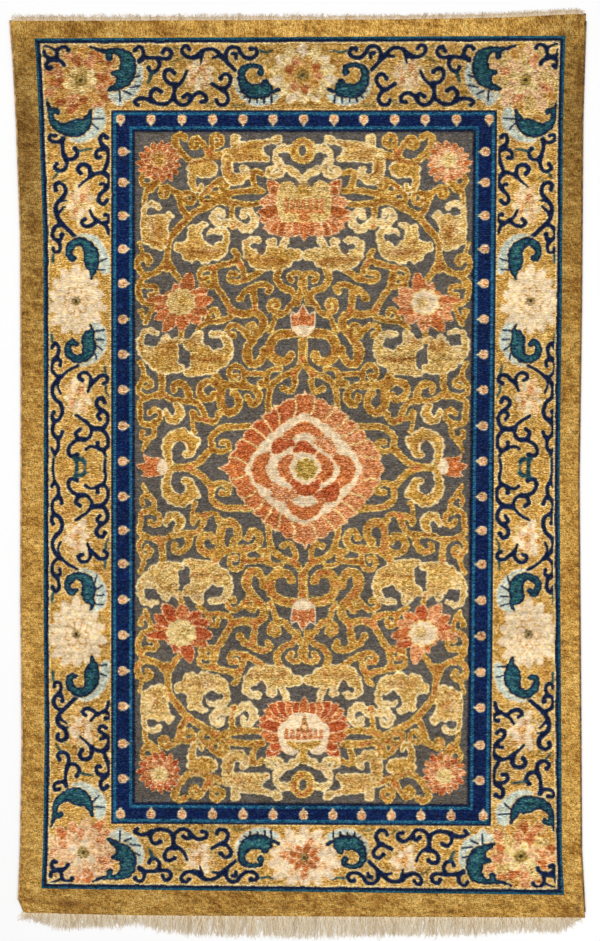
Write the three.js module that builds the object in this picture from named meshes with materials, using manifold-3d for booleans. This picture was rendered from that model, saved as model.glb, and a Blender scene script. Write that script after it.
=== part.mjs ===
// Chinese palace carpet of silk pile and metal thread, lying flat.
// Millimetres, +X across, +Y towards the worn end, +Z up.

import * as THREE from 'three';
import { mergeVertices } from 'three/addons/utils/BufferGeometryUtils.js';
import Module from 'manifold-3d';

// Driving dimensions
const CLOTH_WIDTH = 1550;      // over the side cords at the worn end
const GROUND_TOP = 3.0;        // height of the metal-thread ground
const PILE_TOP = 6.5;          // height of the silk pile
const CORD_WIDTH = 5.0;        // overcast side cord
const CORD_HEIGHT = 6.0;
const WEB_WIDTH = 5.0;         // web of plain weave that carries a fringe
const WEB_HEIGHT = 3.0;
const YARN_HEIGHT = 1.8;       // a lock of warp yarns lying on the floor
const SEAM = 0.3;              // between two pieces that touch

// The design is counted in knots from the left and top edges of its chart
const KNOTS_ACROSS = 578;
const KNOT = CLOTH_WIDTH / KNOTS_ACROSS;
const MIDDLE = { column: 303, row: 468 };
const FIELD = { left: 135, right: 471, top: 132, bottom: 803 };

// The cloth's edge, in knots: the sides bow inwards and the corners flare
const LEFT_EDGE = [
  [9, 21], [12, 60], [15, 120], [19.5, 235], [20.3, 400], [20, 600], [21.3, 740], [19.5, 850], [17.3, 909],
];
const RIGHT_EDGE = [
  [586, 915], [582.5, 850], [581.7, 720], [580, 480], [582.5, 300], [583.7, 120], [585.5, 60], [587, 17],
];
const BOTTOM_EDGE = [[22, 913.5], [128, 915.7], [250, 916.5], [390, 917.3], [584, 918]];
const TOP_EDGE = [[583, 13.5], [571, 13], [500, 16.8], [400, 18.6], [200, 19.6], [11, 20.2]];

// Fringes: how many locks, their length and how much it varies and leans, and
// the widths of a lock at its root and tip as shares of the pitch
const BOTTOM_FRINGE = { locks: 164, length: 39, ragged: 7, lean: 3.4, root: 0.74, tip: 0.36 };
const TOP_FRINGE = { locks: 76, length: 7, ragged: 4, lean: 2.6, root: 0.78, tip: 0.34 };

// Raised motifs of one quarter of the field, in knots on the chart.
// The other three quarters are its mirror images.

// Scrolls: width, the points of the route, and the eye of the spiral that ends it with its turn
const SCROLLS = [
  { width: 5, route: [[174, 136], [185, 157], [195, 163], [222, 154]] },
  { width: 4.5, route: [[208, 155], [209, 141], [196, 134]], eye: [195, 143], turn: -230 },
  { width: 6, route: [[216, 197], [229, 192], [258, 190]] },
  { width: 5, route: [[229, 203], [262, 203]] },
  { width: 5, route: [[220, 198], [195, 212], [170, 238], [167, 260], [179, 281]] },
  { width: 4.5, route: [[186, 218], [179, 200], [172, 188]], eye: [165, 193], turn: -210 },
  { width: 4.5, route: [[167, 262], [150, 274], [138, 270]], eye: [145, 262], turn: 220 },
  { width: 4.5, route: [[148, 275], [138, 284], [140, 298], [160, 303]] },
  { width: 4.5, route: [[196, 283], [210, 268], [233, 262], [246, 279], [262, 270]] },
  { width: 5, route: [[212, 274], [222, 294], [231, 315], [254, 315], [262, 329], [247, 350], [262, 361]] },
  { width: 4.5, route: [[254, 314], [254, 286], [268, 285]] },
  { width: 4.5, route: [[278, 270], [279, 284], [296, 292], [298, 306]] },
  { width: 4.5, route: [[269, 330], [275, 317], [287, 310], [286, 299]], eye: [276, 304], turn: -230 },
  { width: 4.5, route: [[230, 318], [212, 319], [197, 328]] },
  { width: 4.5, route: [[213, 373], [225, 383], [246, 385], [257, 395]], eye: [250, 400], turn: 180 },
  { width: 5, route: [[220, 386], [219, 405], [230, 414], [240, 407], [238, 393]] },
  { width: 5, route: [[303, 331], [303, 360], [290, 374], [272, 381], [267, 396], [267, 414]] },
  { width: 5, route: [[161, 372], [161, 388], [157, 397], [170, 399], [197, 401], [205, 420]] },
  { width: 4.5, route: [[157, 397], [140, 400], [140, 421], [157, 424]], eye: [151, 415], turn: -180 },
  { width: 5, route: [[169, 468], [190, 467], [208, 454], [211, 436], [224, 426], [247, 426]] },
  { width: 5, route: [[179, 328], [179, 342]] },
];

// Cloud leaves: radii across and along the carpet, the lobes of the edge,
// the eye bitten out of the leaf and the ball that hooks round it
const LEAVES = [
  { at: [156, 228], radii: [17, 20], lobes: 6, eye: [150, 212], ball: [158, 207] },
  { at: [205, 247], radii: [27, 17], lobes: 6, eye: [211, 239], ball: [210, 232] },
  { at: [268, 257], radii: [26, 14], lobes: 6, eye: [262, 249], ball: [257, 241] },
  { at: [160, 353], radii: [22, 19], lobes: 6, eye: [150, 341], ball: [154, 334] },
  { at: [206, 355], radii: [23, 19], lobes: 6, eye: [211, 341], ball: [208, 334] },
  { at: [247, 150], radii: [25, 13], lobes: 5, eye: [268, 152], ball: [263, 157] },
  { at: [204, 170], radii: [16, 10], lobes: 4 },
  { at: [233, 173], radii: [12, 10], lobes: 4 },
  { at: [181, 442], radii: [19, 14], lobes: 5, eye: [178, 449], ball: [185, 453] },
  { at: [281, 348], radii: [12, 17], lobes: 4, eye: [288, 345], ball: [289, 353] },
];
const LEAF_NOTCH = 0.14;
const EYE_RADIUS = 5;
const BALL_RADIUS = 4;

// Flowers: radii across and along the carpet, the number of petals and how deep they are cut
const FLOWERS = [
  { at: [160, 161], radii: [22, 21], petals: 11, cut: 0.24 },
  { at: [182, 303], radii: [31, 29], petals: 9, cut: 0.3 },
  { at: [303, 209], radii: [46, 31], petals: 11, cut: 0.26 },
  { at: [303, 317], radii: [13, 15], petals: 3, cut: 0.36 },
  { at: [153, 467], radii: [17, 11], petals: 5, cut: 0.3 },
  { at: [303, 150], radii: [11, 12], petals: 4, cut: 0.06 },
];
const MEDALLION = { at: [303, 468], radii: [83, 79], lobes: 20, cut: 0.06, square: 0.1 };

const wasm = await Module();
wasm.setup();

// A place on the chart, with the middle of the field at the origin
function knot([column, row]) {
  return new THREE.Vector2((column - MIDDLE.column) * KNOT, (MIDDLE.row - row) * KNOT);
}

function smooth(points, count) {
  return new THREE.SplineCurve(points).getPoints(count);
}

const SAME_POINT = 1e-4;

function solid(geometry) {
  geometry.deleteAttribute('normal');
  geometry.deleteAttribute('uv');
  const merged = mergeVertices(geometry, SAME_POINT);
  return new wasm.Manifold(new wasm.Mesh({
    numProp: 3,
    vertProperties: Float32Array.from(merged.attributes.position.array),
    triVerts: Uint32Array.from(merged.index.array),
  }));
}

function geometryOf(manifold) {
  const mesh = manifold.getMesh();
  const geometry = new THREE.BufferGeometry();
  geometry.setAttribute('position', new THREE.BufferAttribute(mesh.vertProperties, 3));
  geometry.setIndex(new THREE.BufferAttribute(mesh.triVerts, 1));
  geometry.computeVertexNormals();
  return geometry;
}

// A flat outline raised from one height to another
function raise(points, bottom, top) {
  const geometry = new THREE.ExtrudeGeometry(new THREE.Shape(points), {
    depth: top - bottom,
    bevelEnabled: false,
  });
  geometry.translate(0, 0, bottom);
  return solid(geometry);
}

function unite(pieces) {
  return pieces.reduce((whole, piece) => whole.add(piece));
}

// The cloth's edge as four smooth runs, moved in from the side cords
const SIDE_STEPS = 20;
const END_STEPS = 14;

function sideRun(edge, inward) {
  return smooth(edge.map(knot), SIDE_STEPS).map((point) => new THREE.Vector2(point.x + inward, point.y));
}

function endRun(edge) {
  return new THREE.SplineCurve(edge.map(knot)).getSpacedPoints(END_STEPS);
}

function clothEdge() {
  const inset = CORD_WIDTH + SEAM;
  return [
    ...endRun(BOTTOM_EDGE),
    ...sideRun(RIGHT_EDGE, -inset),
    ...endRun(TOP_EDGE),
    ...sideRun(LEFT_EDGE, inset),
  ];
}

const CIRCLE_POINTS = 6;

function circle(at, radius) {
  const middle = knot(at);
  return Array.from({ length: CIRCLE_POINTS }, (_, i) => {
    const angle = (2 * Math.PI * i) / CIRCLE_POINTS;
    return new THREE.Vector2(radius * KNOT, 0).rotateAround(new THREE.Vector2(), angle).add(middle);
  });
}

const RIBBON_END = 0.7;        // width at the ends of a ribbon

// A ribbon of one width that narrows at both ends, round a route of points
function ribbon(route, width) {
  const last = route.length - 1;
  const left = [];
  const right = [];
  route.forEach((point, i) => {
    const before = route[Math.max(i - 1, 0)];
    const after = route[Math.min(i + 1, last)];
    const across = after.clone().sub(before).rotateAround(new THREE.Vector2(), Math.PI / 2);
    across.setLength((i === 0 || i === last ? RIBBON_END : 1) * width / 2);
    left.push(point.clone().add(across));
    right.unshift(point.clone().sub(across));
  });
  return [...right, ...left];
}

const SPIRAL_STEP = 45;        // degrees between the points of a spiral
const SPIRAL_CLOSING = 0.55;   // how far it has closed in at its end

function spiral(start, eye, turn) {
  const arm = start.clone().sub(eye);
  const steps = Math.round(Math.abs(turn) / SPIRAL_STEP);
  return Array.from({ length: steps }, (_, i) => {
    const share = (i + 1) / steps;
    const angle = -THREE.MathUtils.degToRad(turn * share);
    return arm.clone().multiplyScalar(1 - SPIRAL_CLOSING * share)
      .rotateAround(new THREE.Vector2(), angle).add(eye);
  });
}

function scrollOutline({ width, route, eye, turn }) {
  const along = smooth(route.map(knot), Math.ceil(1.6 * (route.length - 1)));
  if (eye) {
    along.push(...spiral(along[along.length - 1], knot(eye), turn));
  }
  return ribbon(along, width * KNOT);
}

// A flower seen face on, its petals as the points of a wavy outline
function flowerOutline({ at, radii, petals, cut }) {
  const middle = knot(at);
  return Array.from({ length: 2 * petals }, (_, i) => {
    const angle = Math.PI / 2 + (Math.PI * i) / petals;
    const reach = KNOT * (i % 2 === 0 ? 1 : 1 - cut);
    return new THREE.Vector2(
      middle.x + radii[0] * reach * Math.cos(angle),
      middle.y + radii[1] * reach * Math.sin(angle),
    );
  });
}

// A round with lobes on its edge, drawn in between its four axes by the share square
function lobedOutline({ at, radii, lobes, cut, square = 0 }) {
  const middle = knot(at);
  const count = 3 * lobes;
  return Array.from({ length: count }, (_, i) => {
    const angle = (2 * Math.PI * i) / count;
    const notch = 1 - cut * (i % 3 === 0 ? 1 : 0);
    const drawn = 1 - square * (1 - Math.cos(4 * angle)) / 2;
    return new THREE.Vector2(
      middle.x + radii[0] * KNOT * notch * drawn * Math.cos(angle),
      middle.y + radii[1] * KNOT * notch * drawn * Math.sin(angle),
    );
  });
}

function raisePile(points) {
  return raise(points, GROUND_TOP / 2, PILE_TOP);
}

// One mirror image of the quarter's motifs
function quarter([across, along]) {
  const mirrored = (points) => points.map((point) => new THREE.Vector2(across * point.x, along * point.y));
  const round = (at, radius) => mirrored(circle(at, radius));
  const leaves = LEAVES.map(({ at, radii, lobes, eye, ball }) => {
    const body = raisePile(mirrored(lobedOutline({ at, radii, lobes, cut: LEAF_NOTCH })));
    if (!eye) {
      return body;
    }
    const bite = raise(round(eye, EYE_RADIUS), 0, PILE_TOP + 1);
    return body.subtract(bite).add(raisePile(round(ball, BALL_RADIUS)));
  });
  const scrolls = SCROLLS.map((row) => raisePile(mirrored(scrollOutline(row))));
  const flowers = FLOWERS.map((row) => raisePile(mirrored(flowerOutline(row))));
  return unite([...leaves, ...scrolls, ...flowers]);
}

const MIRRORS = [[1, 1], [-1, 1], [1, -1], [-1, -1]];

function woven() {
  const field = [
    knot([FIELD.left, FIELD.bottom]),
    knot([FIELD.right, FIELD.bottom]),
    knot([FIELD.right, FIELD.top]),
    knot([FIELD.left, FIELD.top]),
  ];
  const borders = raise(clothEdge(), 0, PILE_TOP).subtract(raise(field, GROUND_TOP, PILE_TOP + 1));
  return unite([borders, ...MIRRORS.map(quarter), raisePile(lobedOutline(MEDALLION))]);
}

// Section of an overcast cord, as shares of its half width and of its height, flat underneath
const CORD_SECTION = [[-0.5, 0], [0.5, 0], [1, 0.35], [0.6, 0.9], [0, 1], [-0.6, 0.9], [-1, 0.35]];

// An overcast cord along one side, from the worn end down
function sideCord(edge, side) {
  const half = CORD_WIDTH / 2;
  const section = CORD_SECTION.map(([out, up]) => new THREE.Vector2(out * half, up * CORD_HEIGHT));
  const outer = smooth(edge.map(knot), SIDE_STEPS).sort((a, b) => b.y - a.y);
  return sweptAlong(outer.map((point) => new THREE.Vector2(point.x - side * half, point.y)), section);
}

// A section swept along a route on the floor, each station square across the carpet
function sweptAlong(route, section) {
  const geometry = new THREE.ExtrudeGeometry(new THREE.Shape(section), {
    depth: 1,
    steps: route.length - 1,
    bevelEnabled: false,
  });
  const place = geometry.attributes.position;
  for (let i = 0; i < place.count; i += 1) {
    const station = route[Math.round(place.getZ(i) * (route.length - 1))];
    place.setXYZ(i, station.x + place.getX(i), station.y, place.getY(i));
  }
  return solid(geometry);
}

// A repeatable unevenness between -1 and 1
function uneven(index, seed) {
  const value = Math.sin(index * 12.9898 + seed * 78.233) * 43758.5453;
  return 2 * (value - Math.floor(value)) - 1;
}

const SWAY_LOCKS = 9;          // locks over which the lean of a fringe changes
const OWN_LEAN = 0.3;          // share of a lock's lean that is its own
const CORNER_LOCKS = 12;       // locks that shorten towards a corner
const CORNER_LENGTH = 0.35;    // share of the length left at the corner
const RIDGE_MARGIN = 0.5;      // from the web's edges to its raised middle

// A fringe is its web along the cloth's end and a comb of locks that part from it
function fringe(edge, outward, { locks, length, ragged, lean, root, tip }, seed) {
  const end = new THREE.SplineCurve(edge.map(knot));
  const pitch = (end.getPoint(1).x - end.getPoint(0).x) / locks;
  const along = (share, away) => {
    const point = end.getPointAt(share);
    return new THREE.Vector2(point.x, point.y + outward * away);
  };
  const shifted = (away) => endRun(edge).map((point) => new THREE.Vector2(point.x, point.y + outward * away));
  const comb = [along(1, SEAM + WEB_WIDTH), ...shifted(SEAM).reverse(), along(0, SEAM + WEB_WIDTH)];
  for (let i = 0; i < locks; i += 1) {
    const fromCorner = Math.min(i, locks - 1 - i, CORNER_LOCKS) / CORNER_LOCKS;
    const worn = CORNER_LENGTH + (1 - CORNER_LENGTH) * fromCorner;
    const reach = outward * (length + ragged * uneven(i, seed)) * worn;
    const together = Math.sin(i / SWAY_LOCKS + seed);
    const sway = lean * ((1 - OWN_LEAN) * together + OWN_LEAN * uneven(i, seed + 1));
    const foot = along((i + 0.5) / locks, SEAM + WEB_WIDTH);
    comb.push(
      new THREE.Vector2(foot.x - pitch * root / 2, foot.y),
      new THREE.Vector2(foot.x + sway - pitch * tip / 2, foot.y + reach),
      new THREE.Vector2(foot.x + sway + pitch * tip / 2, foot.y + reach),
      new THREE.Vector2(foot.x + pitch * root / 2, foot.y),
    );
  }
  const ridge = [
    ...shifted(SEAM + RIDGE_MARGIN),
    ...shifted(SEAM + WEB_WIDTH - RIDGE_MARGIN).reverse(),
  ];
  return raise(comb, 0, YARN_HEIGHT).add(raise(ridge, YARN_HEIGHT / 2, WEB_HEIGHT));
}

function piece(name, manifold, finish) {
  const mesh = new THREE.Mesh(geometryOf(manifold), new THREE.MeshStandardMaterial(finish));
  mesh.name = name;
  return mesh;
}

const silk = { color: 0xb98a3c, roughness: 0.7, metalness: 0.0 };
const cordYarn = { color: 0xb89a66, roughness: 0.85, metalness: 0.0 };
const warpYarn = { color: 0xd9c7a6, roughness: 0.9, metalness: 0.0 };

const carpet = new THREE.Group();
carpet.add(piece('carpet', woven(), silk));
carpet.add(piece('selvedge_left', sideCord(LEFT_EDGE, -1), cordYarn));
carpet.add(piece('selvedge_right', sideCord(RIGHT_EDGE, 1), cordYarn));
carpet.add(piece('fringe_bottom', fringe(BOTTOM_EDGE, -1, BOTTOM_FRINGE, 3), warpYarn));
carpet.add(piece('fringe_top', fringe(TOP_EDGE, 1, TOP_FRINGE, 8), warpYarn));

// The origin is under the middle of the whole, fringes included
const middle = new THREE.Box3().setFromObject(carpet).getCenter(new THREE.Vector3());
carpet.position.set(-middle.x, -middle.y, 0);

export default carpet;
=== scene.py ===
import math

import bpy
import numpy as np
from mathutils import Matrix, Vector

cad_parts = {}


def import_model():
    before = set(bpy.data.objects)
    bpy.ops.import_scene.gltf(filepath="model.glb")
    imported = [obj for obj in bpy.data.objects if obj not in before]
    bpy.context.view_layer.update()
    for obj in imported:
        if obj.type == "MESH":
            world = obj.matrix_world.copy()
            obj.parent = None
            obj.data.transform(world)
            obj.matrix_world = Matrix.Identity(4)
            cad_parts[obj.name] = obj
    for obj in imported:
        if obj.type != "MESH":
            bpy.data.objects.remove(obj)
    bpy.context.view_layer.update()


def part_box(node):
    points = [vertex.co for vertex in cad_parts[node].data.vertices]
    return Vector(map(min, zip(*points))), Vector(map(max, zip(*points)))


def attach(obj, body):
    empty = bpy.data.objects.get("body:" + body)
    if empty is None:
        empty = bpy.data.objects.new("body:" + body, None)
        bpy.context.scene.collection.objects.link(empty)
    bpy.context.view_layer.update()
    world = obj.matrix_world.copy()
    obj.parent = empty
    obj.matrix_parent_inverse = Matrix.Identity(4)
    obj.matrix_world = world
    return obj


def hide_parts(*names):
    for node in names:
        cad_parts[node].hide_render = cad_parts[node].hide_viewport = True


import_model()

# Knot chart: columns run to the right and rows down, one for each knot, and a knot is
# one warp pair wide and one weft high.

WOVEN = {"left": 42, "right": 562, "top": 38, "bottom": 892}
GUARD = {"left": 111, "right": 495, "top": 110, "bottom": 825}
FIELD = {"left": 135, "right": 471, "top": 132, "bottom": 803}
AXIS = {"column": 303, "row": 467.6}
STEP = 0.5

PALETTE = {
    "gold": (190, 143, 64),
    "vine": (158, 108, 36),
    "rust": (146, 88, 34),
    "leaf": (190, 147, 70),
    "pale leaf": (207, 169, 100),
    "straw": (228, 197, 132),
    "rim gold": (218, 182, 102),
    "rim cream": (238, 212, 156),
    "cream": (234, 207, 168),
    "cream deep": (218, 186, 140),
    "coral": (190, 108, 56),
    "coral brown": (168, 94, 44),
    "amber": (198, 142, 68),
    "red coral": (176, 84, 42),
    "pink coral": (208, 138, 88),
    "blush": (224, 176, 126),
    "ground": (82, 75, 67),
    "indigo": (9, 29, 70),
    "navy": (14, 25, 52),
    "teal": (24, 64, 76),
    "bright teal": (62, 120, 116),
    "guard teal": (28, 88, 116),
    "ice": (188, 199, 184),
    "line teal": (24, 76, 92),
    "olive": (120, 108, 60),
    "olive gold": (176, 142, 64),
    "border gold": (192, 146, 70),
    "eye": (52, 44, 26),
}


class Patch:
    """A window of the chart, with each point's depth inside a shape, in knots."""

    FAR = -9.0
    MARGIN = 2

    def __init__(self, left, top, right, bottom):
        first = max(0, int((left - WOVEN["left"]) / STEP) - Patch.MARGIN)
        last = min(COLUMNS.size, int((right - WOVEN["left"]) / STEP) + Patch.MARGIN + 1)
        upper = max(0, int((top - WOVEN["top"]) / STEP) - Patch.MARGIN)
        lower = min(ROWS.size, int((bottom - WOVEN["top"]) / STEP) + Patch.MARGIN + 1)
        self.window = (slice(upper, max(upper, lower)), slice(first, max(first, last)))
        self.columns = COLUMNS[self.window[1]][None, :]
        self.rows = ROWS[self.window[0]][:, None]
        self.depth = np.full((self.rows.size, self.columns.size), Patch.FAR, np.float32)

    def part(self, left, top, right, bottom):
        """The slices of this patch that hold a box of the chart."""
        rows, columns = self.rows[:, 0], self.columns[0]
        return (
            slice(np.searchsorted(rows, top), np.searchsorted(rows, bottom)),
            slice(np.searchsorted(columns, left), np.searchsorted(columns, right)),
        )

    def limb(self, start, end):
        """Adds a round-ended limb between two (column, row, half width) points."""
        (c0, r0, w0), (c1, r1, w1) = start, end
        reach = max(w0, w1) + Patch.MARGIN
        box = self.part(min(c0, c1) - reach, min(r0, r1) - reach,
                        max(c0, c1) + reach, max(r0, r1) + reach)
        columns, rows = self.columns[:, box[1]] - c0, self.rows[box[0]] - r0
        along, down = c1 - c0, r1 - r0
        length = max(along * along + down * down, 1e-6)
        share = np.clip((columns * along + rows * down) / length, 0, 1)
        away = np.hypot(columns - along * share, rows - down * share)
        np.maximum(self.depth[box], w0 + (w1 - w0) * share - away, out=self.depth[box])

    def depth_on_chart(self):
        """The depth of this shape over the whole chart."""
        whole = np.full((ROWS.size, COLUMNS.size), Patch.FAR, np.float32)
        whole[self.window] = self.depth
        return whole


def smooth_route(points, spacing=1.6):
    """A smooth line of (column, row, half width) through the given points."""
    points = np.array(points, float)
    if len(points) < 3:
        return points
    padded = np.vstack([2 * points[0] - points[1], points, 2 * points[-1] - points[-2]])
    route = [points[0]]
    for before, start, end, after in zip(padded, padded[1:], padded[2:], padded[3:]):
        steps = max(2, int(np.hypot(*(end - start)[:2]) / spacing))
        for share in np.arange(1, steps + 1) / steps:
            square, cube = share * share, share ** 3
            route.append(0.5 * (2 * start + (end - before) * share
                                + (2 * before - 5 * start + 4 * end - after) * square
                                + (3 * start - before - 3 * end + after) * cube))
    return np.array(route)


def turn(column, row, radius, start, sweep, end=0.3):
    """Points of a curl that winds in, by angles in degrees from the right, clockwise."""
    steps = max(4, int(abs(sweep) / 40))
    shares = np.arange(steps + 1) / steps
    angles = np.radians(start + sweep * shares)
    radii = radius * (1 - (1 - end) * shares)
    return [(column + far * math.cos(angle), row + far * math.sin(angle))
            for far, angle in zip(radii, angles)]


def blade(points, ball=0.0):
    """A patch of one smooth limb through (column, row, half width) points."""
    route = smooth_route(points)
    reach = max(route[:, 2].max(), ball) + Patch.MARGIN
    patch = Patch(route[:, 0].min() - reach, route[:, 1].min() - reach,
                  route[:, 0].max() + reach, route[:, 1].max() + reach)
    for start, end in zip(route, route[1:]):
        patch.limb(start, end)
    if ball:
        tip = (route[-1][0], route[-1][1], ball)
        patch.limb(tip, tip)
    return patch


def stroke(points, width, end_width=None, ball=0.0):
    """A patch of a line that changes evenly from one width to another."""
    end_width = end_width or width
    shares = np.linspace(0, 1, len(points))
    return blade([(c, r, (width + (end_width - width) * share) / 2)
                  for (c, r), share in zip(points, shares)], ball)


def rosette(column, row, reach, count=0, lobes=0.0, phase=0.0, power=2.0):
    """A patch of a round shape: reach is (across, down), and lobes scallop its edge."""
    across, down = reach
    margin = Patch.MARGIN + 1
    patch = Patch(column - across - margin, row - down - margin,
                  column + across + margin, row + down + margin)
    columns, rows = patch.columns - column, patch.rows - row
    size = ((np.abs(columns) / across) ** power + (np.abs(rows) / down) ** power) ** (1 / power)
    far = np.hypot(columns, rows)
    edge = far / np.maximum(size, 1e-4)
    if count:
        angle = np.arctan2(rows, columns)
        edge = edge - lobes * (1 - np.abs(np.cos((angle + phase) * count / 2)))
    patch.depth = (edge - far).astype(np.float32)
    return patch


def placed(column, row, offsets, mirror=(1, 1)):
    """Chart points at (across, down) or (across, down, half width) from a place."""
    return [(column + mirror[0] * across, row + mirror[1] * down, *width)
            for across, down, *width in offsets]


class Quarter:
    """Places chart points in one quarter of the carpet, as woven by hand there."""

    def __init__(self, right, lower, column_shift=0.0, row_shift=0.0):
        self.right, self.lower = right, lower
        self.mirror = (-1 if right else 1, -1 if lower else 1)
        self.column_shift, self.row_shift = column_shift, row_shift

    def at(self, column, row):
        """Where a chart point of the upper left quarter lies in this one."""
        column = AXIS["column"] - (AXIS["column"] - column) * self.mirror[0]
        row = 2 * AXIS["row"] - row if self.lower else row
        return column + self.column_shift, row + self.row_shift

    def route(self, points):
        """The same for a route of points, which may have half widths."""
        return [self.at(*point[:2]) + tuple(point[2:]) for point in points]


# Slow drifts of the weaving from its chart, in knots, along each edge of each band.

CLOTH = {"left": 18.5, "right": 582.5, "top": 19, "bottom": 915}
LEFT_DRIFT = ((19, 60, 120, 235, 400, 600, 740, 850, 904, 916),
              (-9.7, -6.3, -3.1, 1.2, 1.8, 1.5, 2.8, 1.0, -1.2, 4.5))
RIGHT_DRIFT = ((15, 60, 120, 300, 480, 720, 850, 914),
               (4.5, 3.0, 1.2, 0.0, -2.5, -0.8, 0.0, 3.5))
TOP_DRIFT = ((12, 200, 400, 500, 571, 585), (1.2, 0.6, -0.4, -2.2, -6.0, -5.5))
BOTTOM_DRIFT = ((22, 128, 250, 390, 584), (-1.8, 0.7, 1.5, 2.3, 3.0))
LINE_TOP_DRIFT = ((42, 562), (0.3, -2.4))
LINE_BOTTOM_DRIFT = ((42, 562), (-3.5, 3.0))
FIELD_RIGHT_DRIFT = ((132, 803), (2.2, -3.8))
FIELD_BOTTOM_DRIFT = ((135, 471), (-1.0, 1.0))


def drift(table, places):
    """Values at places from a table of (places, values)."""
    return np.interp(places, *table)


def between(stations, values, places):
    """Values at places between stations, where each station has its own row of values."""
    upper = np.clip(np.searchsorted(stations, places), 1, len(stations) - 1)
    stations, values = np.array(stations, float), np.array(values)
    share = (places - stations[upper - 1]) / (stations[upper] - stations[upper - 1])
    share = np.clip(share, 0, 1)[:, None]
    return values[upper - 1] * (1 - share) + values[upper] * share


def as_woven(columns, rows):
    """Where the lines of a chart grid lie on the real cloth, as two arrays of knots."""
    level = np.zeros(rows.size)
    sideways = between(
        (CLOTH["left"], WOVEN["left"], GUARD["left"], AXIS["column"], FIELD["right"],
         GUARD["right"], WOVEN["right"], CLOTH["right"]),
        (drift(LEFT_DRIFT, rows), drift(LEFT_DRIFT, rows) * 0.95, level, level,
         drift(FIELD_RIGHT_DRIFT, rows), drift(FIELD_RIGHT_DRIFT, rows),
         drift(RIGHT_DRIFT, rows) * 0.95, drift(RIGHT_DRIFT, rows)),
        columns).T
    level = np.zeros(columns.size)
    upward = between(
        (CLOTH["top"], WOVEN["top"], GUARD["top"], AXIS["row"], FIELD["bottom"],
         GUARD["bottom"], WOVEN["bottom"], CLOTH["bottom"]),
        (drift(TOP_DRIFT, columns), drift(LINE_TOP_DRIFT, columns), level, level,
         drift(FIELD_BOTTOM_DRIFT, columns), drift(FIELD_BOTTOM_DRIFT, columns),
         drift(LINE_BOTTOM_DRIFT, columns), drift(BOTTOM_DRIFT, columns)),
        rows)
    return columns[None, :] + sideways, rows[:, None] + upward


def smoothstep(values, low, high):
    """A smooth rise from 0 at the low value to 1 at the high one."""
    share = np.clip((values - low) / (high - low), 0, 1)
    return share * share * (3 - 2 * share)


def cell_average(samples):
    """Mean of the half-knot samples in and round each knot, nearer ones counting more."""
    weights = np.array((0.25, 0.5, 0.25), np.float32)
    rows = sum(w * samples[k:samples.shape[0] - 2 + k:2] for k, w in enumerate(weights))
    return sum(w * rows[:, k:samples.shape[1] - 2 + k:2] for k, w in enumerate(weights))


def linear(colour):
    """Linear light from display colours between 0 and 1."""
    colour = np.clip(colour, 0, 1)
    return np.where(colour <= 0.04045, colour / 12.92, ((colour + 0.055) / 1.055) ** 2.4)


def cloud(rows, columns, cell_rows, cell_columns, seed):
    """Slow noise between -1 and 1 with patches of about the given size."""
    source = np.random.default_rng(seed).uniform(-1, 1, (
        int(rows / cell_rows) + 3, int(columns / cell_columns) + 3))
    down = np.arange(rows) / cell_rows
    over = np.arange(columns) / cell_columns
    j, i = down.astype(int), over.astype(int)
    v, u = (smoothstep(part - part.astype(int), 0, 1) for part in (down, over))
    v, u = v[:, None], u[None, :]
    upper = source[j][:, i] * (1 - u) + source[j][:, i + 1] * u
    lower = source[j + 1][:, i] * (1 - u) + source[j + 1][:, i + 1] * u
    return upper * (1 - v) + lower * v


def clouds(size, table):
    """Slow noises added up, from rows of (patch rows, patch columns, seed, strength)."""
    return sum(cloud(*size, high, wide, seed) * strength for high, wide, seed, strength in table)


# Lighter and darker streaks over the knots: partly uneven dye, partly painted sheen of the silk pile's lie.
STREAKS_OF_DYE_AND_SHEEN = ((1.3, 70, 51, 0.05), (4, 90, 52, 0.04), (45, 60, 53, 0.05))
DYE_BLOTCHES = ((3, 3, 54, 0.1),)
DYE_RIBS = ((1, 7, 55, 0.6),)
GRAIN, GRAIN_BESIDE = 0.85, 0.4
PALE_LEVEL = 0.6
GROUND_GRAIN = 0.05
WARMTH = np.array((0.6, 0.0, -1.0))


def dyed_and_sheened(knots, raised):
    """The knots' colours with the uneven dye and wear of the real carpet, and the silk's shine painted in as
    lighter and darker streaks.
    """
    chance = np.random.default_rng(71)
    size = raised.shape
    # The streaks (uneven dye and painted sheen) and the blotches (uneven dye) scale each knot's colour.
    colour = knots * (1 + clouds(size, STREAKS_OF_DYE_AND_SHEEN) + clouds(size, DYE_BLOTCHES))[..., None]
    grain = chance.normal(0, 1, size)
    rib = GRAIN * grain + GRAIN_BESIDE * np.roll(grain, 1, 1) + clouds(size, DYE_RIBS)
    level = knots.mean(-1)
    strength = 0.02 + 0.17 * np.minimum(level, PALE_LEVEL) - 0.35 * np.maximum(level - PALE_LEVEL, 0)
    strength = np.where(raised > 0.5, strength, GROUND_GRAIN)
    warm = chance.normal(0, 0.03, size)[..., None] * WARMTH
    return np.clip(colour + (rib * strength)[..., None] + warm, 0.01, 1)


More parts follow.
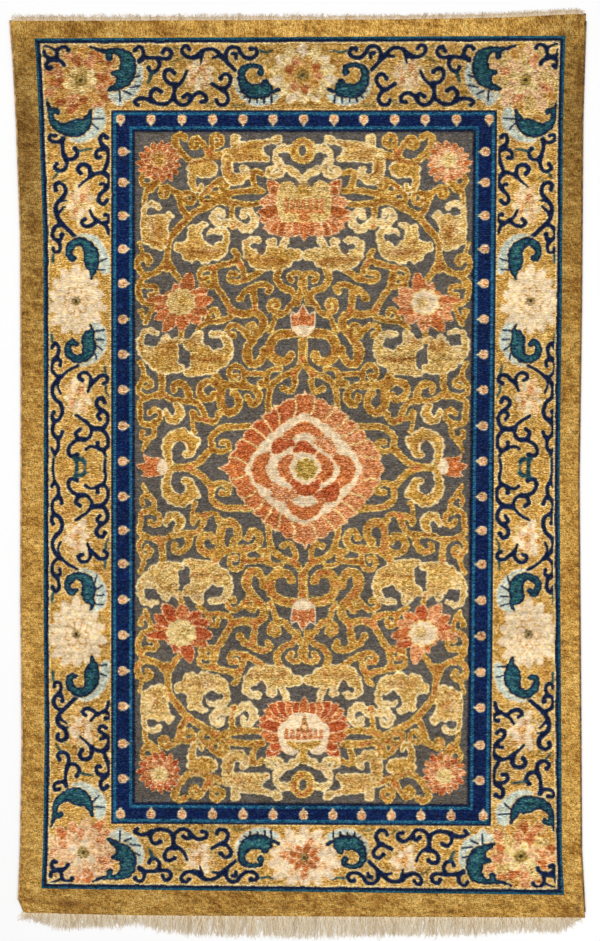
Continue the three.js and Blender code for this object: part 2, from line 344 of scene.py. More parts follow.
def joined(patches, holes=()):
    """One patch over several, less the holes."""
    windows = [patch.window for patch in patches]
    whole = Patch.__new__(Patch)
    whole.window = tuple(slice(min(w[k].start for w in windows), max(w[k].stop for w in windows))
                         for k in (0, 1))
    whole.columns = COLUMNS[whole.window[1]][None, :]
    whole.rows = ROWS[whole.window[0]][:, None]
    whole.depth = np.full((whole.rows.size, whole.columns.size), Patch.FAR, np.float32)
    for patch in patches:
        part = tuple(slice(patch.window[k].start - whole.window[k].start,
                           patch.window[k].stop - whole.window[k].start) for k in (0, 1))
        whole.depth[part] = np.maximum(whole.depth[part], patch.depth)
    for hole in holes:
        for column, row, radius in hole:
            away = np.hypot(whole.columns - column, whole.rows - row) - radius
            whole.depth = np.minimum(whole.depth, away)
    return whole


COLUMNS = np.arange(WOVEN["left"], WOVEN["right"] + STEP / 2, STEP)
ROWS = np.arange(WOVEN["top"], WOVEN["bottom"] + STEP / 2, STEP)


def scallops(period):
    """Rounded bumps over the chart, between -0.5 and 0.5, to scallop the edges of shapes."""
    across = np.abs(np.sin(COLUMNS * (math.pi / period)))
    down = np.abs(np.sin(ROWS * (math.pi / period)))
    return (0.5 * (across[None, :] + down[:, None]) - 0.6).astype(np.float32)


LEAF_SCALLOP = scallops(8.2) * 2.2
VINE_SCALLOP = scallops(6.3) * 1.1


def rgb(name):
    """A tint of the palette as display colours between 0 and 1."""
    return np.array(PALETTE[name], np.float32) / 255


FILLET = 2.4
BORDER_DEPTH, FIELD_DEPTH = 5.0, -5
BORDER_STRAY, FIELD_STRAY, GUARD_STRAY = 0.8, 1.0, 0.4
GUARD_ACROSS, GUARD_DOWN = (168, 194), (335, 359)
STRAY_SEEDS = (31, 41)
KNOT_STRAY = 0.12


def off_axis(places, axis, band):
    """Whether each place lies in a band of distances from the axis."""
    away = np.abs(places - axis)
    return (away > band[0]) & (away < band[1])


class Layer:
    """Shapes that grow together: their joint depth, and the tint of the deepest."""

    def __init__(self):
        self.depth = np.full((ROWS.size, COLUMNS.size), Patch.FAR, np.float32)
        self.colour = np.zeros((ROWS.size, COLUMNS.size, 3), np.float32)
        self.window = (slice(0, ROWS.size), slice(0, COLUMNS.size))

    def add(self, patch, colour):
        """Grows a shape into the layer, with a fillet where it meets another."""
        here = self.depth[patch.window]
        deeper = patch.depth > here
        self.colour[patch.window][deeper] = rgb(colour)
        blend = np.maximum(FILLET - np.abs(patch.depth - here), 0) / FILLET
        here[:] = np.maximum(here, patch.depth) + blend * blend * FILLET / 4


class Chart:
    """The colours of the woven chart and the depth of its raised pile."""

    def __init__(self):
        self.colour = np.empty((ROWS.size, COLUMNS.size, 3), np.float32)
        self.colour[:] = rgb("border gold")
        self.pile = np.full((ROWS.size, COLUMNS.size), BORDER_DEPTH, np.float32)

    def tint(self, patch, colour, inset=0.0, soft=0.5, strength=1.0, within=None):
        """Lays a colour where the patch is deeper than the inset."""
        share = np.clip((patch.depth - inset) / soft + 0.5, 0, 1)[..., None] * strength
        if within is not None:
            share = share * np.clip(within[patch.window] - 0.8, 0, 1)[..., None]
        here = self.colour[patch.window]
        self.colour[patch.window] = here + (rgb(colour) - here) * share

    def lift(self, patch):
        """Raises the pile where the patch is."""
        self.pile[patch.window] = np.maximum(self.pile[patch.window], patch.depth)

    def motif(self, patch, rim, fill, rim_width=1.3, raised=True):
        """Lays a shape with a rim of one colour round a fill of another."""
        self.tint(patch, rim)
        self.tint(patch, fill, inset=rim_width)
        if raised:
            self.lift(patch)

    def layer(self, layer, rim, rim_width=1.3):
        """Lays a layer of grown-together shapes, each in its own tint."""
        self.tint(layer, rim)
        share = np.clip((layer.depth - rim_width) / 0.5 + 0.5, 0, 1)[..., None]
        self.colour += (layer.colour - self.colour) * share
        self.lift(layer)

    def box(self, left, right, top, bottom, colour):
        """Lays one colour over a box of the chart."""
        columns = (COLUMNS >= left) & (COLUMNS <= right)
        rows = (ROWS >= top) & (ROWS <= bottom)
        self.colour[np.ix_(rows, columns)] = rgb(colour)

    def blend(self, colour, share):
        """Mixes in a colour by a share for each point of the chart."""
        self.colour += (rgb(colour) - self.colour) * share[..., None]

    def soften(self):
        """Blends every point's colour with its neighbours'."""
        for axis in (0, 1):
            beside = np.roll(self.colour, 1, axis) + np.roll(self.colour, -1, axis)
            self.colour = self.colour * 0.5 + beside * 0.25

    def unsettle(self):
        """Shifts every point a little, as knots tied by hand stray from the drawing."""
        size = (ROWS.size, COLUMNS.size)
        reach = np.where(self.pile < BORDER_DEPTH - 0.1, FIELD_STRAY, BORDER_STRAY)
        on_guard = off_axis(COLUMNS, AXIS["column"], GUARD_ACROSS)[None, :] \
            | off_axis(ROWS, AXIS["row"], GUARD_DOWN)[:, None]
        reach[on_guard] *= GUARD_STRAY
        places = []
        for seed, index in zip(STRAY_SEEDS, np.indices(size)):
            stray = clouds(size, ((26, 26, seed, 1.4), (9, 9, seed + 1, 0.7)))
            stray += np.random.default_rng(seed).normal(0, KNOT_STRAY, size)
            places.append(np.clip(index + stray * reach, 0, index.max()).round().astype(int))
        self.colour = self.colour[tuple(places)]
        self.pile = self.pile[tuple(places)]


# Flowers, blossoms and buds of the field, and the medallion.

PETAL_RIM = 0.9
PETAL_UNEVENNESS = 0.06


def petals(chart, column, row, ring, mirror=(1, 1), raised=True):
    """One ring of petals, every second one laid over its neighbours."""
    count, inner, outer, half_width, skew, phase, squash, rim, fill, rim_width = ring
    for index in [*range(0, count, 2), *range(1, count, 2)]:
        angle = math.radians(phase + 360 * index / count)
        far = outer * (1 + PETAL_UNEVENNESS * math.sin(5 * index + phase))
        stations = ((inner, 0.7, 0), (inner * 0.45 + far * 0.55, 1.0, 0.3),
                    (far - 2.0, 0.62, 0.8), (far, 0.16, 1.0))
        route = []
        for reach, width, turned in stations:
            bearing = angle + math.radians(skew) * turned
            route.append((column + mirror[0] * squash[0] * reach * math.cos(bearing),
                          row + mirror[1] * squash[1] * reach * math.sin(bearing), half_width * width))
        tint = fill if isinstance(fill, str) else fill[index % len(fill)]
        chart.motif(blade(route), rim, tint, rim_width, raised)


def heart(chart, column, row, reach, rim, fill, count, lobes, phase=0.0, rim_width=1.2):
    """The scalloped middle of a flower."""
    chart.motif(rosette(column, row, reach, count, lobes, phase), rim, fill, rim_width)


CORNER_FLOWER = (159.5, 162)
CORNER_RINGS = (  # count, inner and outer reach, half width, skew, phase, squash, rim
    (15, 7, 22, 4.0, 9, 4, (1, 0.95), "blush"),
    (11, 4, 15, 3.6, 6, 14, (1, 0.95), "blush"),
)
SIDE_FLOWER = (181, 302.5)
SIDE_PETALS = (  # root across and down, tip across and down, half width
    (-3, -8, -6, -20, 5.6), (5, -9, 9, -31, 8.2), (-13, 5, -28, 6, 6.4), (-11, 9, -27, 17, 6.8),
    (-6, 12, -18, 29, 7.6), (3, 12, 0, 28, 8.2), (9, 9, 19, 20, 8.0), (12, 5, 27, 10, 7.6),
    (12, -6, 27, -13, 7.0), (12, 0, 32, -4, 7.6), (-11, -3, -37, -3, 5.6),
)
SIDE_PETAL_WIDTHS = ((0, 0.85), (0.45, 0.9), (0.8, 0.5), (1, 0.12))


def corner_flower(chart, quarter, heart_tint, outer_tints, inner_tints):
    """The flower in a corner of the field, with faint spokes over its heart."""
    column, row = quarter.at(*CORNER_FLOWER)
    for ring, tints in zip(CORNER_RINGS, (outer_tints, inner_tints)):
        petals(chart, column, row, (*ring, tints, PETAL_RIM), quarter.mirror)
    middle = row - quarter.mirror[1] * 2
    heart(chart, column - quarter.mirror[0] * 0.5, middle, (10, 9), "blush", heart_tint, 9, 1.8)
    for bearing in np.radians(range(0, 360, 45)):
        end = (column + 6.5 * math.cos(bearing), middle + 6 * math.sin(bearing))
        chart.tint(stroke([(column, middle), end], 1.0), "gold", strength=0.4)


def side_flower(chart, quarter, heart_tint, tints):
    """The flower at a side of the field: petals of unequal reach over a disc."""
    column, row = quarter.at(*SIDE_FLOWER)
    mirror = quarter.mirror
    disc = rosette(column, row + mirror[1] * 2, (19.5, 18))
    disc.depth += VINE_SCALLOP[disc.window] * 2.5
    chart.motif(disc, "blush", tints[1], PETAL_RIM)
    for index, (root_across, root_down, tip_across, tip_down, width) in enumerate(SIDE_PETALS):
        offsets = [(root_across + (tip_across - root_across) * share,
                    root_down + (tip_down - root_down) * share, width * part)
                   for share, part in SIDE_PETAL_WIDTHS]
        petal = blade(placed(column, row, offsets, mirror))
        petal.depth += VINE_SCALLOP[petal.window] * 1.2
        chart.motif(petal, "blush", tints[index % 3], 1.1)
    heart(chart, column, row - mirror[1] * 0.5, (15.5, 14), "straw", heart_tint, 9, 2.2, phase=0.4,
          rim_width=2.0)
    chart.tint(rosette(column + mirror[0] * 2.5, row, (6.5, 6)), "leaf", soft=5, strength=0.6)


LOTUS = {"across": 1.0, "rows": {False: 211, True: 727}}  # across from the axis, rows by lower or not
LOTUS_PETALS = (  # tip across and down, root across and down, half width
    (37, -31, 25, -18, 6.6), (33, -24, 24, -14, 6.8), (44, -9, 25, -8, 8.2), (46, 8.5, 24, 5, 7.6),
    (47, 1.5, 24, 1, 7.0), (41, 17, 22, 11, 7.4), (36, 22.5, 19, 13, 6.8), (27, 25, 14, 13, 7.0),
    (17, 26, 10, 13, 6.6), (9, 25, 5, 13, 6.0),
)
LOTUS_TIP = ((0, 14, 6), (0, 22, 5), (0, 29.5, 0.8))
LOTUS_TINTS = {
    False: ("coral", "coral brown", "pink coral"),
    True: ("red coral", "red coral", "coral"),
}
LOTUS_BODY = {  # by lower or not: routes of (across, towards the field's middle, half width)
    False: ([(-17, -21, 9.5), (-18, -8, 9.5), (-17, 3, 8.5)],
            [(17, -21, 9.5), (18, -8, 9.5), (17, 3, 8.5)],
            [(0, -14, 12), (0, 0, 12)], [(-17, 2, 9), (17, 2, 9)]),
    True: ([(-15.5, -5, 11), (15.5, -5, 11)], [(-8, 5, 9), (8, 5, 9)],
           [(-14, -13, 11), (-13, -19, 9.5)], [(14, -13, 11), (14, -19, 9.5)],
           [(-8, -15, 8), (8, -15, 8)]),
}
LOTUS_BODY_TINTS = {False: ("straw", "pale leaf", 1.2), True: ("cream", "cream", 1.2)}
LOTUS_MOON = ((-15, 16, 2.4), (0, 20, 4.6), (15, 16, 2.4))
LOTUS_STALK = ((0, 23, 4), (0, 33, 4))
LOTUS_DROP = ((0, -9, 1.5), (0, 3, 4.5))
LOTUS_COMB = {False: (-11, 0.5), True: (3, 10.5)}
COMB_BARS = np.linspace(-17.5, 17.5, 7)


def lotus(chart, lower):
    """The large blossom on the axis, open towards the nearer end of the field."""
    column, row = AXIS["column"] + LOTUS["across"], LOTUS["rows"][lower]
    sign = -1 if lower else 1
    for side in (-1, 1):
        for index, (tip_across, tip_down, root_across, root_down, width) in enumerate(LOTUS_PETALS):
            middle = (0.45 * tip_across + 0.55 * root_across, 0.45 * tip_down + 0.55 * root_down)
            offsets = [(root_across, root_down, width), (*middle, width), (tip_across, tip_down, 0.7)]
            petal = blade(placed(column, row, offsets, (side, sign)))
            petal.depth += VINE_SCALLOP[petal.window]
            chart.motif(petal, "blush", LOTUS_TINTS[lower][index % 3], 1.3)
    chart.motif(blade(placed(column, row, LOTUS_TIP, (1, sign))), "blush", "coral", 1.0)
    body = joined([blade(placed(column, row, route, (1, sign))) for route in LOTUS_BODY[lower]])
    chart.motif(body, *LOTUS_BODY_TINTS[lower])
    if lower:
        moon = blade(placed(column, row, LOTUS_MOON))
        chart.tint(moon, "gold", soft=1.5, within=body.depth_on_chart())
        chart.motif(blade(placed(column, row, LOTUS_STALK)), "rim gold", "gold", 1.2)
        chart.tint(blade(placed(column, row, LOTUS_DROP)), "rust", soft=1.5, strength=0.85)
        chart.tint(stroke([(column, row), (column, row + 2)], 4), "blush", soft=1.5)
    else:
        chart.tint(rosette(column, row - 22, (7, 7)), "gold", soft=3, strength=0.7)
        chart.tint(rosette(column, row + 6, (5.5, 5)), "coral", soft=2, strength=0.8)
    comb_top, comb_foot = LOTUS_COMB[lower]
    for index, bar in enumerate(COMB_BARS):
        places = placed(column, row, [(bar, comb_top + index % 2 * 1.5), (bar, comb_foot)])
        chart.tint(stroke(places, 3.8), "coral", soft=1.2, strength=0.85)
        chart.tint(stroke(places, 1.0), "blush", soft=1.0, strength=0.4)
    foot = placed(column, row, [(-18, comb_foot), (18, comb_foot)])
    chart.tint(stroke(foot, 2.4), "coral", soft=1.2, strength=0.7)


BUD_ROW = 318
BUD_PETALS = (  # routes of (across, towards the field's middle, half width)
    [(0, -14, 0.8), (0, -7, 4.6), (0, 3, 9.5), (0, 9, 10)],
    [(-12, -7, 0.8), (-8.5, 0, 4.6), (-6, 8, 6)],
    [(12, -7, 0.8), (8.5, 0, 4.6), (6, 8, 6)],
)
BUD_CUP = ((-8, 11, 3), (0, 12, 5), (8, 11, 3))


def bud(chart, lower):
    """The small bud on the axis, between the blossom and the medallion."""
    column = AXIS["column"]
    sign = -1 if lower else 1
    row = 2 * AXIS["row"] - BUD_ROW if lower else BUD_ROW
    outer = [blade(placed(column, row, petal, (1, sign))) for petal in BUD_PETALS]
    chart.motif(joined(outer), "cream", "coral", 1.6)
    for side in (-1, 1):
        seam = placed(column, row, [(2.6, -6), (6, 6)], (side, sign))
        chart.tint(stroke(seam, 1.2), "blush", strength=0.8)
    chart.motif(blade(placed(column, row, BUD_CUP, (1, sign))), "cream", "cream", 1.0)


SIDE_BUD = {"column": 150, "rise": 0.8}
SIDE_BUD_PETALS = (  # routes of (towards the field's middle, down, half width)
    [(-13, -1, 0.8), (-5, 0, 5), (8, 0, 8)],
    [(-6, -13, 0.8), (-3, -8, 3), (8, -3, 7)],
    [(-8, 9, 0.8), (-2, 7, 4), (8, 3, 7)],
)


def side_bud(chart, right):
    """The small bud beside the medallion."""
    sign = -1 if right else 1
    column = AXIS["column"] - sign * (AXIS["column"] - SIDE_BUD["column"])
    row = AXIS["row"] - SIDE_BUD["rise"]
    spikes = [blade(placed(column, row, petal, (sign, 1))) for petal in SIDE_BUD_PETALS]
    chart.motif(joined(spikes), "blush", "coral", 1.2)
    chart.motif(rosette(column + sign * 12, row, (5.5, 8.5), power=1.8), "cream", "cream", 1.0)


MEDALLION = {"column": 305, "row": 468.5}
MEDALLION_TIPS = ((0, -78), (0, 80.5), (-87, -1), (79.5, 0.5))
PETAL_LINES = (  # bearing, how far in and out a pale line between the outer petals runs
    (-98, 54, 73), (-82, 54, 73), (-115, 53, 73), (-65, 53, 73), (-129, 47, 70), (-51, 47, 70),
    (-141, 45, 69), (-39, 45, 69), (-154, 48, 71), (-26, 48, 71), (-171, 58, 77), (-9, 58, 77),
    (171, 58, 77), (9, 58, 77), (153, 49, 71), (27, 49, 71), (139, 46, 70), (41, 46, 70),
    (127, 47, 70), (53, 47, 70), (114, 53, 73), (66, 53, 73), (99, 56, 74), (81, 56, 74),
)
SEGMENTS = (  # tint and route of (across, down, half width) of the pieces inside the cream ring
    ("coral", [(-38, -13, 4), (-45.5, -4, 7), (-45.5, 7, 7), (-36, 16, 4.5)]),
    ("red coral", [(-29, -20, 5.5), (-23, -25, 6.5), (-14, -25.5, 4)]),
    ("coral", [(-19, -32, 3.8), (-9, -37.5, 4.6), (0, -42, 5.4), (9, -37.5, 4.6), (16, -32, 3.8)]),
    ("pink coral", [(12, -27, 3.5), (21, -24.5, 6.8), (27, -18, 4.5)]),
    ("coral", [(32, -11, 4.5), (41.5, -4, 7), (41.5, 7, 7), (32, 17, 4.5)]),
    ("red coral", [(31, 16, 3.5), (26, 25, 8), (12, 28, 3.8)]),
    ("coral", [(-17, 34, 3.2), (-9, 41.5, 5), (0, 45, 6.4), (10, 41.5, 5), (17, 33, 3.2)]),
    ("pink coral", [(-30, 17, 3.5), (-26, 25, 7), (-10, 26, 3.8)]),
    ("coral", [(-15, -12, 3.4), (-22, -2, 6), (-16, 10, 3.8)]),
    ("red coral", [(-9, -18, 3.2), (-2, -22.5, 5.4), (8, -17, 3.4)]),
    ("coral", [(14, -13, 3.4), (21.5, -5, 5.6), (22, 4, 6.2), (13, 13, 3.6)]),
    ("red coral", [(-12, 14, 3.4), (-3, 21, 5.6), (6, 21, 5.6), (14, 13, 3.4)]),
)


MEDALLION_SHADES = (  # across, down, tint
    (-42, -42, "red coral"), (44, -44, "pink coral"), (-46, 40, "coral"),
    (20, 58, "pink coral"), (64, 10, "pink coral"),
)


def medallion(chart):
    """The pointed medallion: a petalled disc, a cream ring and the flower inside it."""
    column, row = MEDALLION["column"], MEDALLION["row"]
    outline = [rosette(column, row, (80.5, 76.5), power=1.45, count=34, lobes=2.6)]
    for across, down in MEDALLION_TIPS:
        share = 1 - 10 / math.hypot(across, down)
        offsets = [(across * share * 0.88, down * share * 0.88, 8),
                   (across * share, down * share, 4.5), (across, down, 0.6)]
        outline.append(blade(placed(column, row, offsets)))
    chart.motif(joined(outline), "blush", "coral", 1.8)
    for across, down, tint in MEDALLION_SHADES:
        shade = rosette(column + across, row + down, (34, 32))
        chart.tint(shade, tint, inset=-4, soft=22, strength=0.7, within=outline[0].depth_on_chart() - 1)
    for bearing, inner, outer in PETAL_LINES:
        angle = math.radians(bearing)
        bend = math.radians(bearing + (4 if bearing > 0 else -4))
        middle = (inner + outer) / 2
        line = [(column + inner * math.cos(bend), row + inner * 0.97 * math.sin(bend)),
                (column + middle * math.cos(angle), row + middle * 0.96 * math.sin(angle)),
                (column + outer * math.cos(angle), row + outer * 0.96 * math.sin(angle))]
        chart.tint(stroke(line, 1.9), "straw", soft=0.9, strength=0.95)
    ring = rosette(column - 1, row + 0.5, (60, 57), power=1.36, count=24, lobes=1.8)
    chart.motif(ring, "blush", "cream", 0.9)
    for tint, route in SEGMENTS:
        piece = blade([(column + across, row + down, half * 1.1) for across, down, half in route])
        piece.depth += VINE_SCALLOP[piece.window] * 1.2
        chart.motif(piece, "blush", tint, 0.8)
    heart(chart, column + 1, row + 0.5, (12.5, 12), "straw", "olive gold", 8, 2.2)
    chart.tint(rosette(column + 0.5, row + 33.5, (12.5, 5.5), count=6, lobes=1), "cream", soft=1.5)


# Main border: its leaves, shoots and scrolls, and how its flowers are drawn.

SCROLL_SHARE = 0.88
SCROLLS = (  # width at the start and the end, ball at the end, route of columns and rows
    (3, 3, 0, [(45, 45.5), (50, 47.5), (56, 50)]),
    (4.6, 4.6, 2.4, [(44.5, 52), (45.5, 56), (50, 58.5), (57, 59.3), (62, 62.5), (64, 65.5)]),
    (4, 4, 2.6, [(57, 60), (57, 54), (58.5, 49), (62.5, 46.5), (67, 47.5), (68.5, 50)]),
    (4.6, 4.6, 2.6, [(56, 59.5), (49.5, 60.5), (46.8, 64.5), (48, 69), (51, 67.5)]),
    (4.4, 4.4, 2.8, [(139, 62), (143, 57.5), (144, 52), (141.5, 47.5), (137.5, 46.8), (135, 50)]),
    (4.8, 4.6, 2.6, [(139, 60.5), (147, 58), (157, 58), (167, 58.5), (171, 54.5), (169.5, 49.8),
                     (165, 48.3), (162.8, 52.3)]),
    (4.8, 4.6, 2.6, [(158, 59), (159, 66), (156, 71), (150.5, 71.5), (148.6, 67.5)]),
    (4.8, 4.4, 2.4, [(200, 56), (195, 57.5), (188, 57.5), (183, 54), (181.8, 48.8), (186, 45.8),
                     (189.5, 49.5)]),
    (4.8, 4.4, 0, [(194, 57.5), (199, 54), (204, 50), (212, 49), (219, 53), (225, 59.5), (231, 66),
                   (235.5, 70.5)]),
    (3.2, 2.4, 0, [(203, 51.5), (202, 57), (200.5, 63)]),
    (3.4, 3.4, 0, [(213, 57.5), (219, 56.5), (224, 58)]),
    (5, 4.6, 2.8, [(175, 84), (168.5, 82.5), (164.3, 76.5), (165.5, 70.8), (170.5, 69.5), (174.3, 72.5)]),
    (3.4, 5, 0, [(187, 71.5), (184.5, 77.5), (180, 83), (174.5, 86.5)]),
    (5, 4.8, 2.8, [(174.5, 84), (173.5, 95), (171, 100.5), (165, 104), (157, 104), (151.5, 99.5),
                   (151, 92.5), (155.5, 88.5), (160.5, 91)]),
    (4.8, 4.4, 2.4, [(152, 101.5), (145, 98.5), (138.5, 99), (134.5, 102), (137.5, 105)]),
    (4.8, 4.6, 2.8, [(174, 96), (177, 102), (183, 105.5), (189, 103), (191, 97.5), (187, 94), (183.5, 97)]),
    (4.8, 4.6, 2.6, [(190, 99), (195, 95), (200, 93), (205.5, 96), (206, 101), (201.5, 101.8)]),
    (4.8, 4.6, 3.2, [(226.5, 59), (226.3, 52), (231, 47), (237.5, 48), (241, 53.5), (246, 57.5),
                     (253, 57.5), (257.5, 53.5), (255.5, 48.8), (251, 49.2)]),
    (4.6, 4, 0, [(232.5, 53.5), (235.5, 54), (236, 58)]),
    (4.8, 4.6, 3, [(212, 84), (217, 87), (222, 89.5), (227.5, 86.5), (231, 81), (229.5, 76), (224.5, 74.2),
                   (220.8, 78.5)]),
    (4.8, 4.6, 2.6, [(222, 89.5), (227, 94), (228.5, 100), (225, 104.5), (219, 104.5), (217, 100.2)]),
    (4.4, 4.2, 2.6, [(63.5, 138.5), (60, 141.8), (54, 142), (50, 139), (50.8, 134.8), (55.5, 135.5)]),
    (4.6, 5, 2.8, [(63, 138), (62.5, 147), (64.5, 155), (69, 159.5), (75, 158), (77.5, 152.5),
                   (74.5, 148.3)]),
    (5, 4.6, 2.6, [(64.5, 156), (66.5, 164), (64, 170), (58.5, 171), (54.5, 167.5), (56.8, 163.8)]),
    (5, 4.8, 3, [(105, 168), (108.5, 160), (109, 152), (105, 147), (100.5, 143), (100, 138), (103, 134.8),
                 (106.8, 137.5)]),
    (4.8, 4.6, 2.6, [(106, 149), (99, 149.5), (95.5, 153), (96.3, 157.5), (100, 157.3)]),
    (5.4, 5, 3, [(90.5, 176), (90, 168), (86, 164.8), (80.5, 165), (77.8, 169.5), (80.5, 173.3)]),
    (5.6, 2.6, 0, [(108, 176), (103, 172.5), (96, 173.5), (90, 177), (84, 182), (79, 186.5)]),
    (5, 4.6, 2.6, [(103, 172.5), (108, 177), (109, 184), (105, 190), (99.5, 195), (98.8, 201), (103, 204),
                   (106.5, 200.5)]),
    (4, 3.6, 2.4, [(105.5, 189), (103.8, 184.5), (100.5, 184.3)]),
    (3.4, 5, 2.8, [(90, 210.5), (93.5, 217), (100, 222), (106, 226), (109, 232.5)]),
    (4.6, 4.4, 2.4, [(97, 221), (92, 225), (85.5, 226.3), (81.5, 222.5), (85, 219)]),
    (4.6, 4.4, 2.8, [(105, 223), (109.5, 220.5), (109.5, 216), (105.3, 215)]),
    (5.2, 5, 2.8, [(76.5, 238), (70, 232), (64, 226), (58, 219), (55.5, 211), (56.5, 204), (61, 199),
                   (65, 193), (64, 185.8), (59, 182.6), (54.6, 185.5), (55.5, 190)]),
    (2.4, 1.6, 0, [(60, 201), (67, 200.5)]),
    (4, 2, 0, [(58.5, 213.5), (63, 208), (65.5, 206)]),
    (4.8, 4.8, 3.2, [(61, 224), (55, 227), (52.2, 233), (54.5, 239), (60.5, 239.3), (61.5, 234.5)]),
    (4.4, 4, 2.2, [(58, 241), (60.3, 246), (59, 251.5), (54, 252), (53.2, 248)]),
    (3.6, 5, 2.6, [(78, 365.5), (69, 370.5), (61, 376.5), (55.5, 375.5), (51.8, 369), (52.8, 361),
                   (57.8, 355), (58.6, 347), (55, 343.3), (52, 347.8)]),
    (4.2, 4, 2.4, [(54.5, 359), (60, 360.5), (59.5, 365.3)]),
    (5, 4.8, 2.6, [(61, 377), (54.8, 383), (52.8, 391), (54.8, 398), (60, 403), (62.3, 410), (60.3, 417.5),
                   (55.5, 420.5), (52, 416.5), (53.8, 411.8)]),
    (2.4, 3, 0, [(59.5, 381), (58.5, 387), (61, 393)]),
    (4.6, 4.4, 2.6, [(54.5, 421), (52.3, 429), (54.8, 436), (60, 437), (62.3, 432)]),
    (4.6, 4.2, 2.4, [(57.8, 438), (58.3, 446.5), (55, 452), (51.3, 448.5)]),
    (3.4, 3, 0, [(54.5, 454), (53.5, 461)]),
    (3.2, 3.4, 0, [(53.3, 464), (53.5, 476)]),
    (3.6, 4.8, 2.4, [(87.5, 391), (90, 384), (90, 377), (85.5, 373), (80.3, 374), (78.8, 378.3),
                     (82.5, 380.5)]),
    (5, 4.6, 2.6, [(90.5, 384), (95, 380), (100, 375.8), (105.5, 376.2), (107.5, 380.8), (103.8, 383.6)]),
    (5, 5, 2.8, [(92, 428.3), (101, 428.6), (105.8, 425), (107.8, 418.5), (105.5, 413), (100, 409),
                 (96.5, 404.5), (97.6, 399.6), (102, 397.6), (104.6, 401.8)]),
    (4.6, 4.4, 2.4, [(101, 411), (97, 415), (100, 419.3)]),
    (3.6, 5, 3, [(76, 415.5), (81, 418.5), (87, 422.5), (91, 428.5), (90.5, 435), (86, 439.3), (78, 440.3),
                 (71, 444.5), (68.3, 451), (71, 456), (76.8, 454.8)]),
    (5, 4.6, 2.6, [(84, 440), (79, 438.5), (76, 433), (80, 429)]),
    (5, 4.6, 2.8, [(93, 428.5), (101, 429.5), (106, 434), (108.3, 440.5), (107.3, 447), (103, 450.3),
                   (98.3, 448), (97.6, 442.6)]),
    (3.8, 3.6, 2.2, [(98, 448.6), (91, 446.3), (86, 449)]),
    (4, 3.4, 0, [(104, 451), (106, 458), (104.2, 467), (105.3, 475)]),
)

TEAL_LEAVES = (  # blades of (column, row, half width)
    ([(91, 47.6, 1.2), (100, 50.2, 1.8), (108, 51.5, 2.6), (109.6, 57, 3.6)],
     [(108, 51.2, 2.6), (118, 51.5, 3.6), (126.5, 58, 7), (127.6, 68, 8.6), (125, 78, 8), (118, 86, 4.2),
      (108, 89.5, 1.8)], [(114, 73.5, 3), (122, 74, 6)]),
    ([(57.5, 112, 2.8), (52.5, 110.5, 3.4), (51, 117.5, 3.2), (56.5, 125.5, 4.6), (66.5, 129.5, 6.4),
      (77, 127.5, 9), (85.5, 123.5, 5.4), (91, 110.5, 1.5)],
     [(46.8, 100, 1), (48.6, 107, 2), (50.5, 112, 3)]),
    ([(260.3, 73, 3.4), (261, 68, 2.8), (255.5, 65.2, 2.6), (248, 65.6, 3), (242.6, 70, 3.8),
      (241.8, 77.5, 4.2), (244.5, 85, 5.4), (251, 90.5, 7.2), (260, 90.8, 7.6), (267, 88.6, 5.6)],
     [(265, 83, 4), (266, 90, 6)], [(266, 94.5, 3), (272, 93, 1.7), (278, 89.6, 2)]),
    ([(75, 258.3, 2.4), (71, 258.3, 3.2), (68.8, 252.6, 3.6), (71.5, 245.8, 4.2), (79.5, 241.6, 4.6),
      (87, 245.3, 5.6), (91.3, 253.5, 7.6), (91.5, 262, 7.8), (93, 270, 4.4), (91.3, 278.5, 1.1)],),
    ([(76, 344.5, 2.6), (72, 341.6, 3.2), (67.8, 347.3, 3.7), (69.3, 354.8, 4.2), (77, 359, 4.2),
      (85.5, 356, 5.6), (89, 347.5, 7.6), (87.8, 338, 6.6), (92.6, 331.5, 2.8), (90, 324.5, 0.8)],),
)

TUFTS = (  # pale blue feathering beside the teal leaves, as routes of (column, row, half width)
    [(138, 62, 1.5), (139.5, 72, 3.6), (138.5, 82, 4), (133, 91, 5), (124, 96, 5.5), (117, 99, 5),
     (112, 95, 3)],
    [(119, 96, 5), (119.5, 103, 3)],
    [(99, 112, 5), (99.5, 120, 6.5), (97, 128, 5), (89, 135, 4.4), (79, 139, 3.2), (71, 139, 1.6)],
    [(237.5, 79, 1.6), (239.5, 87, 3.6), (245, 95, 4), (254, 101.5, 3.4), (265, 101.5, 3.8), (275, 97, 4)],
    [(76, 236.5, 1.6), (86, 236, 2.4), (95, 240.5, 3.6), (101, 249, 4.4), (104, 259, 5.6), (106, 269, 5)],
    [(93, 325, 3), (99, 331, 6), (100.5, 341, 6.4), (99, 350, 5), (94, 358.5, 3.6), (84, 364, 2.4),
     (76, 364.6, 1.2)],
)

WHISKERS = (  # width, start and end of the dark hairs in the tufts
    (1.7, (134, 77.5), (140, 75.8)), (1.7, (130, 87.6), (140, 86.3)), (1.8, (124, 91), (131, 94.5)),
    (1.8, (119.6, 91), (120, 101)), (1.5, (92, 119), (104, 118.3)), (1.5, (92, 123.5), (98, 129)),
    (1.5, (100, 261), (107, 258.6)), (1.5, (98, 269.5), (106, 269.3)), (1.6, (94, 331.5), (103.5, 330)),
    (1.6, (96.5, 339.4), (103.5, 339.6)), (1.6, (96.5, 346), (102.5, 350)), (1.6, (95.5, 353), (97, 359.5)),
    (2, (250.5, 99), (250, 102)), (2, (264.5, 98), (264.5, 103)), (2, (271.5, 96), (271.6, 103)),
    (1.5, (244, 91), (240, 91.4)), (1.5, (247.5, 95.5), (244, 98)), (1.6, (257.5, 99), (257.5, 102)),
)

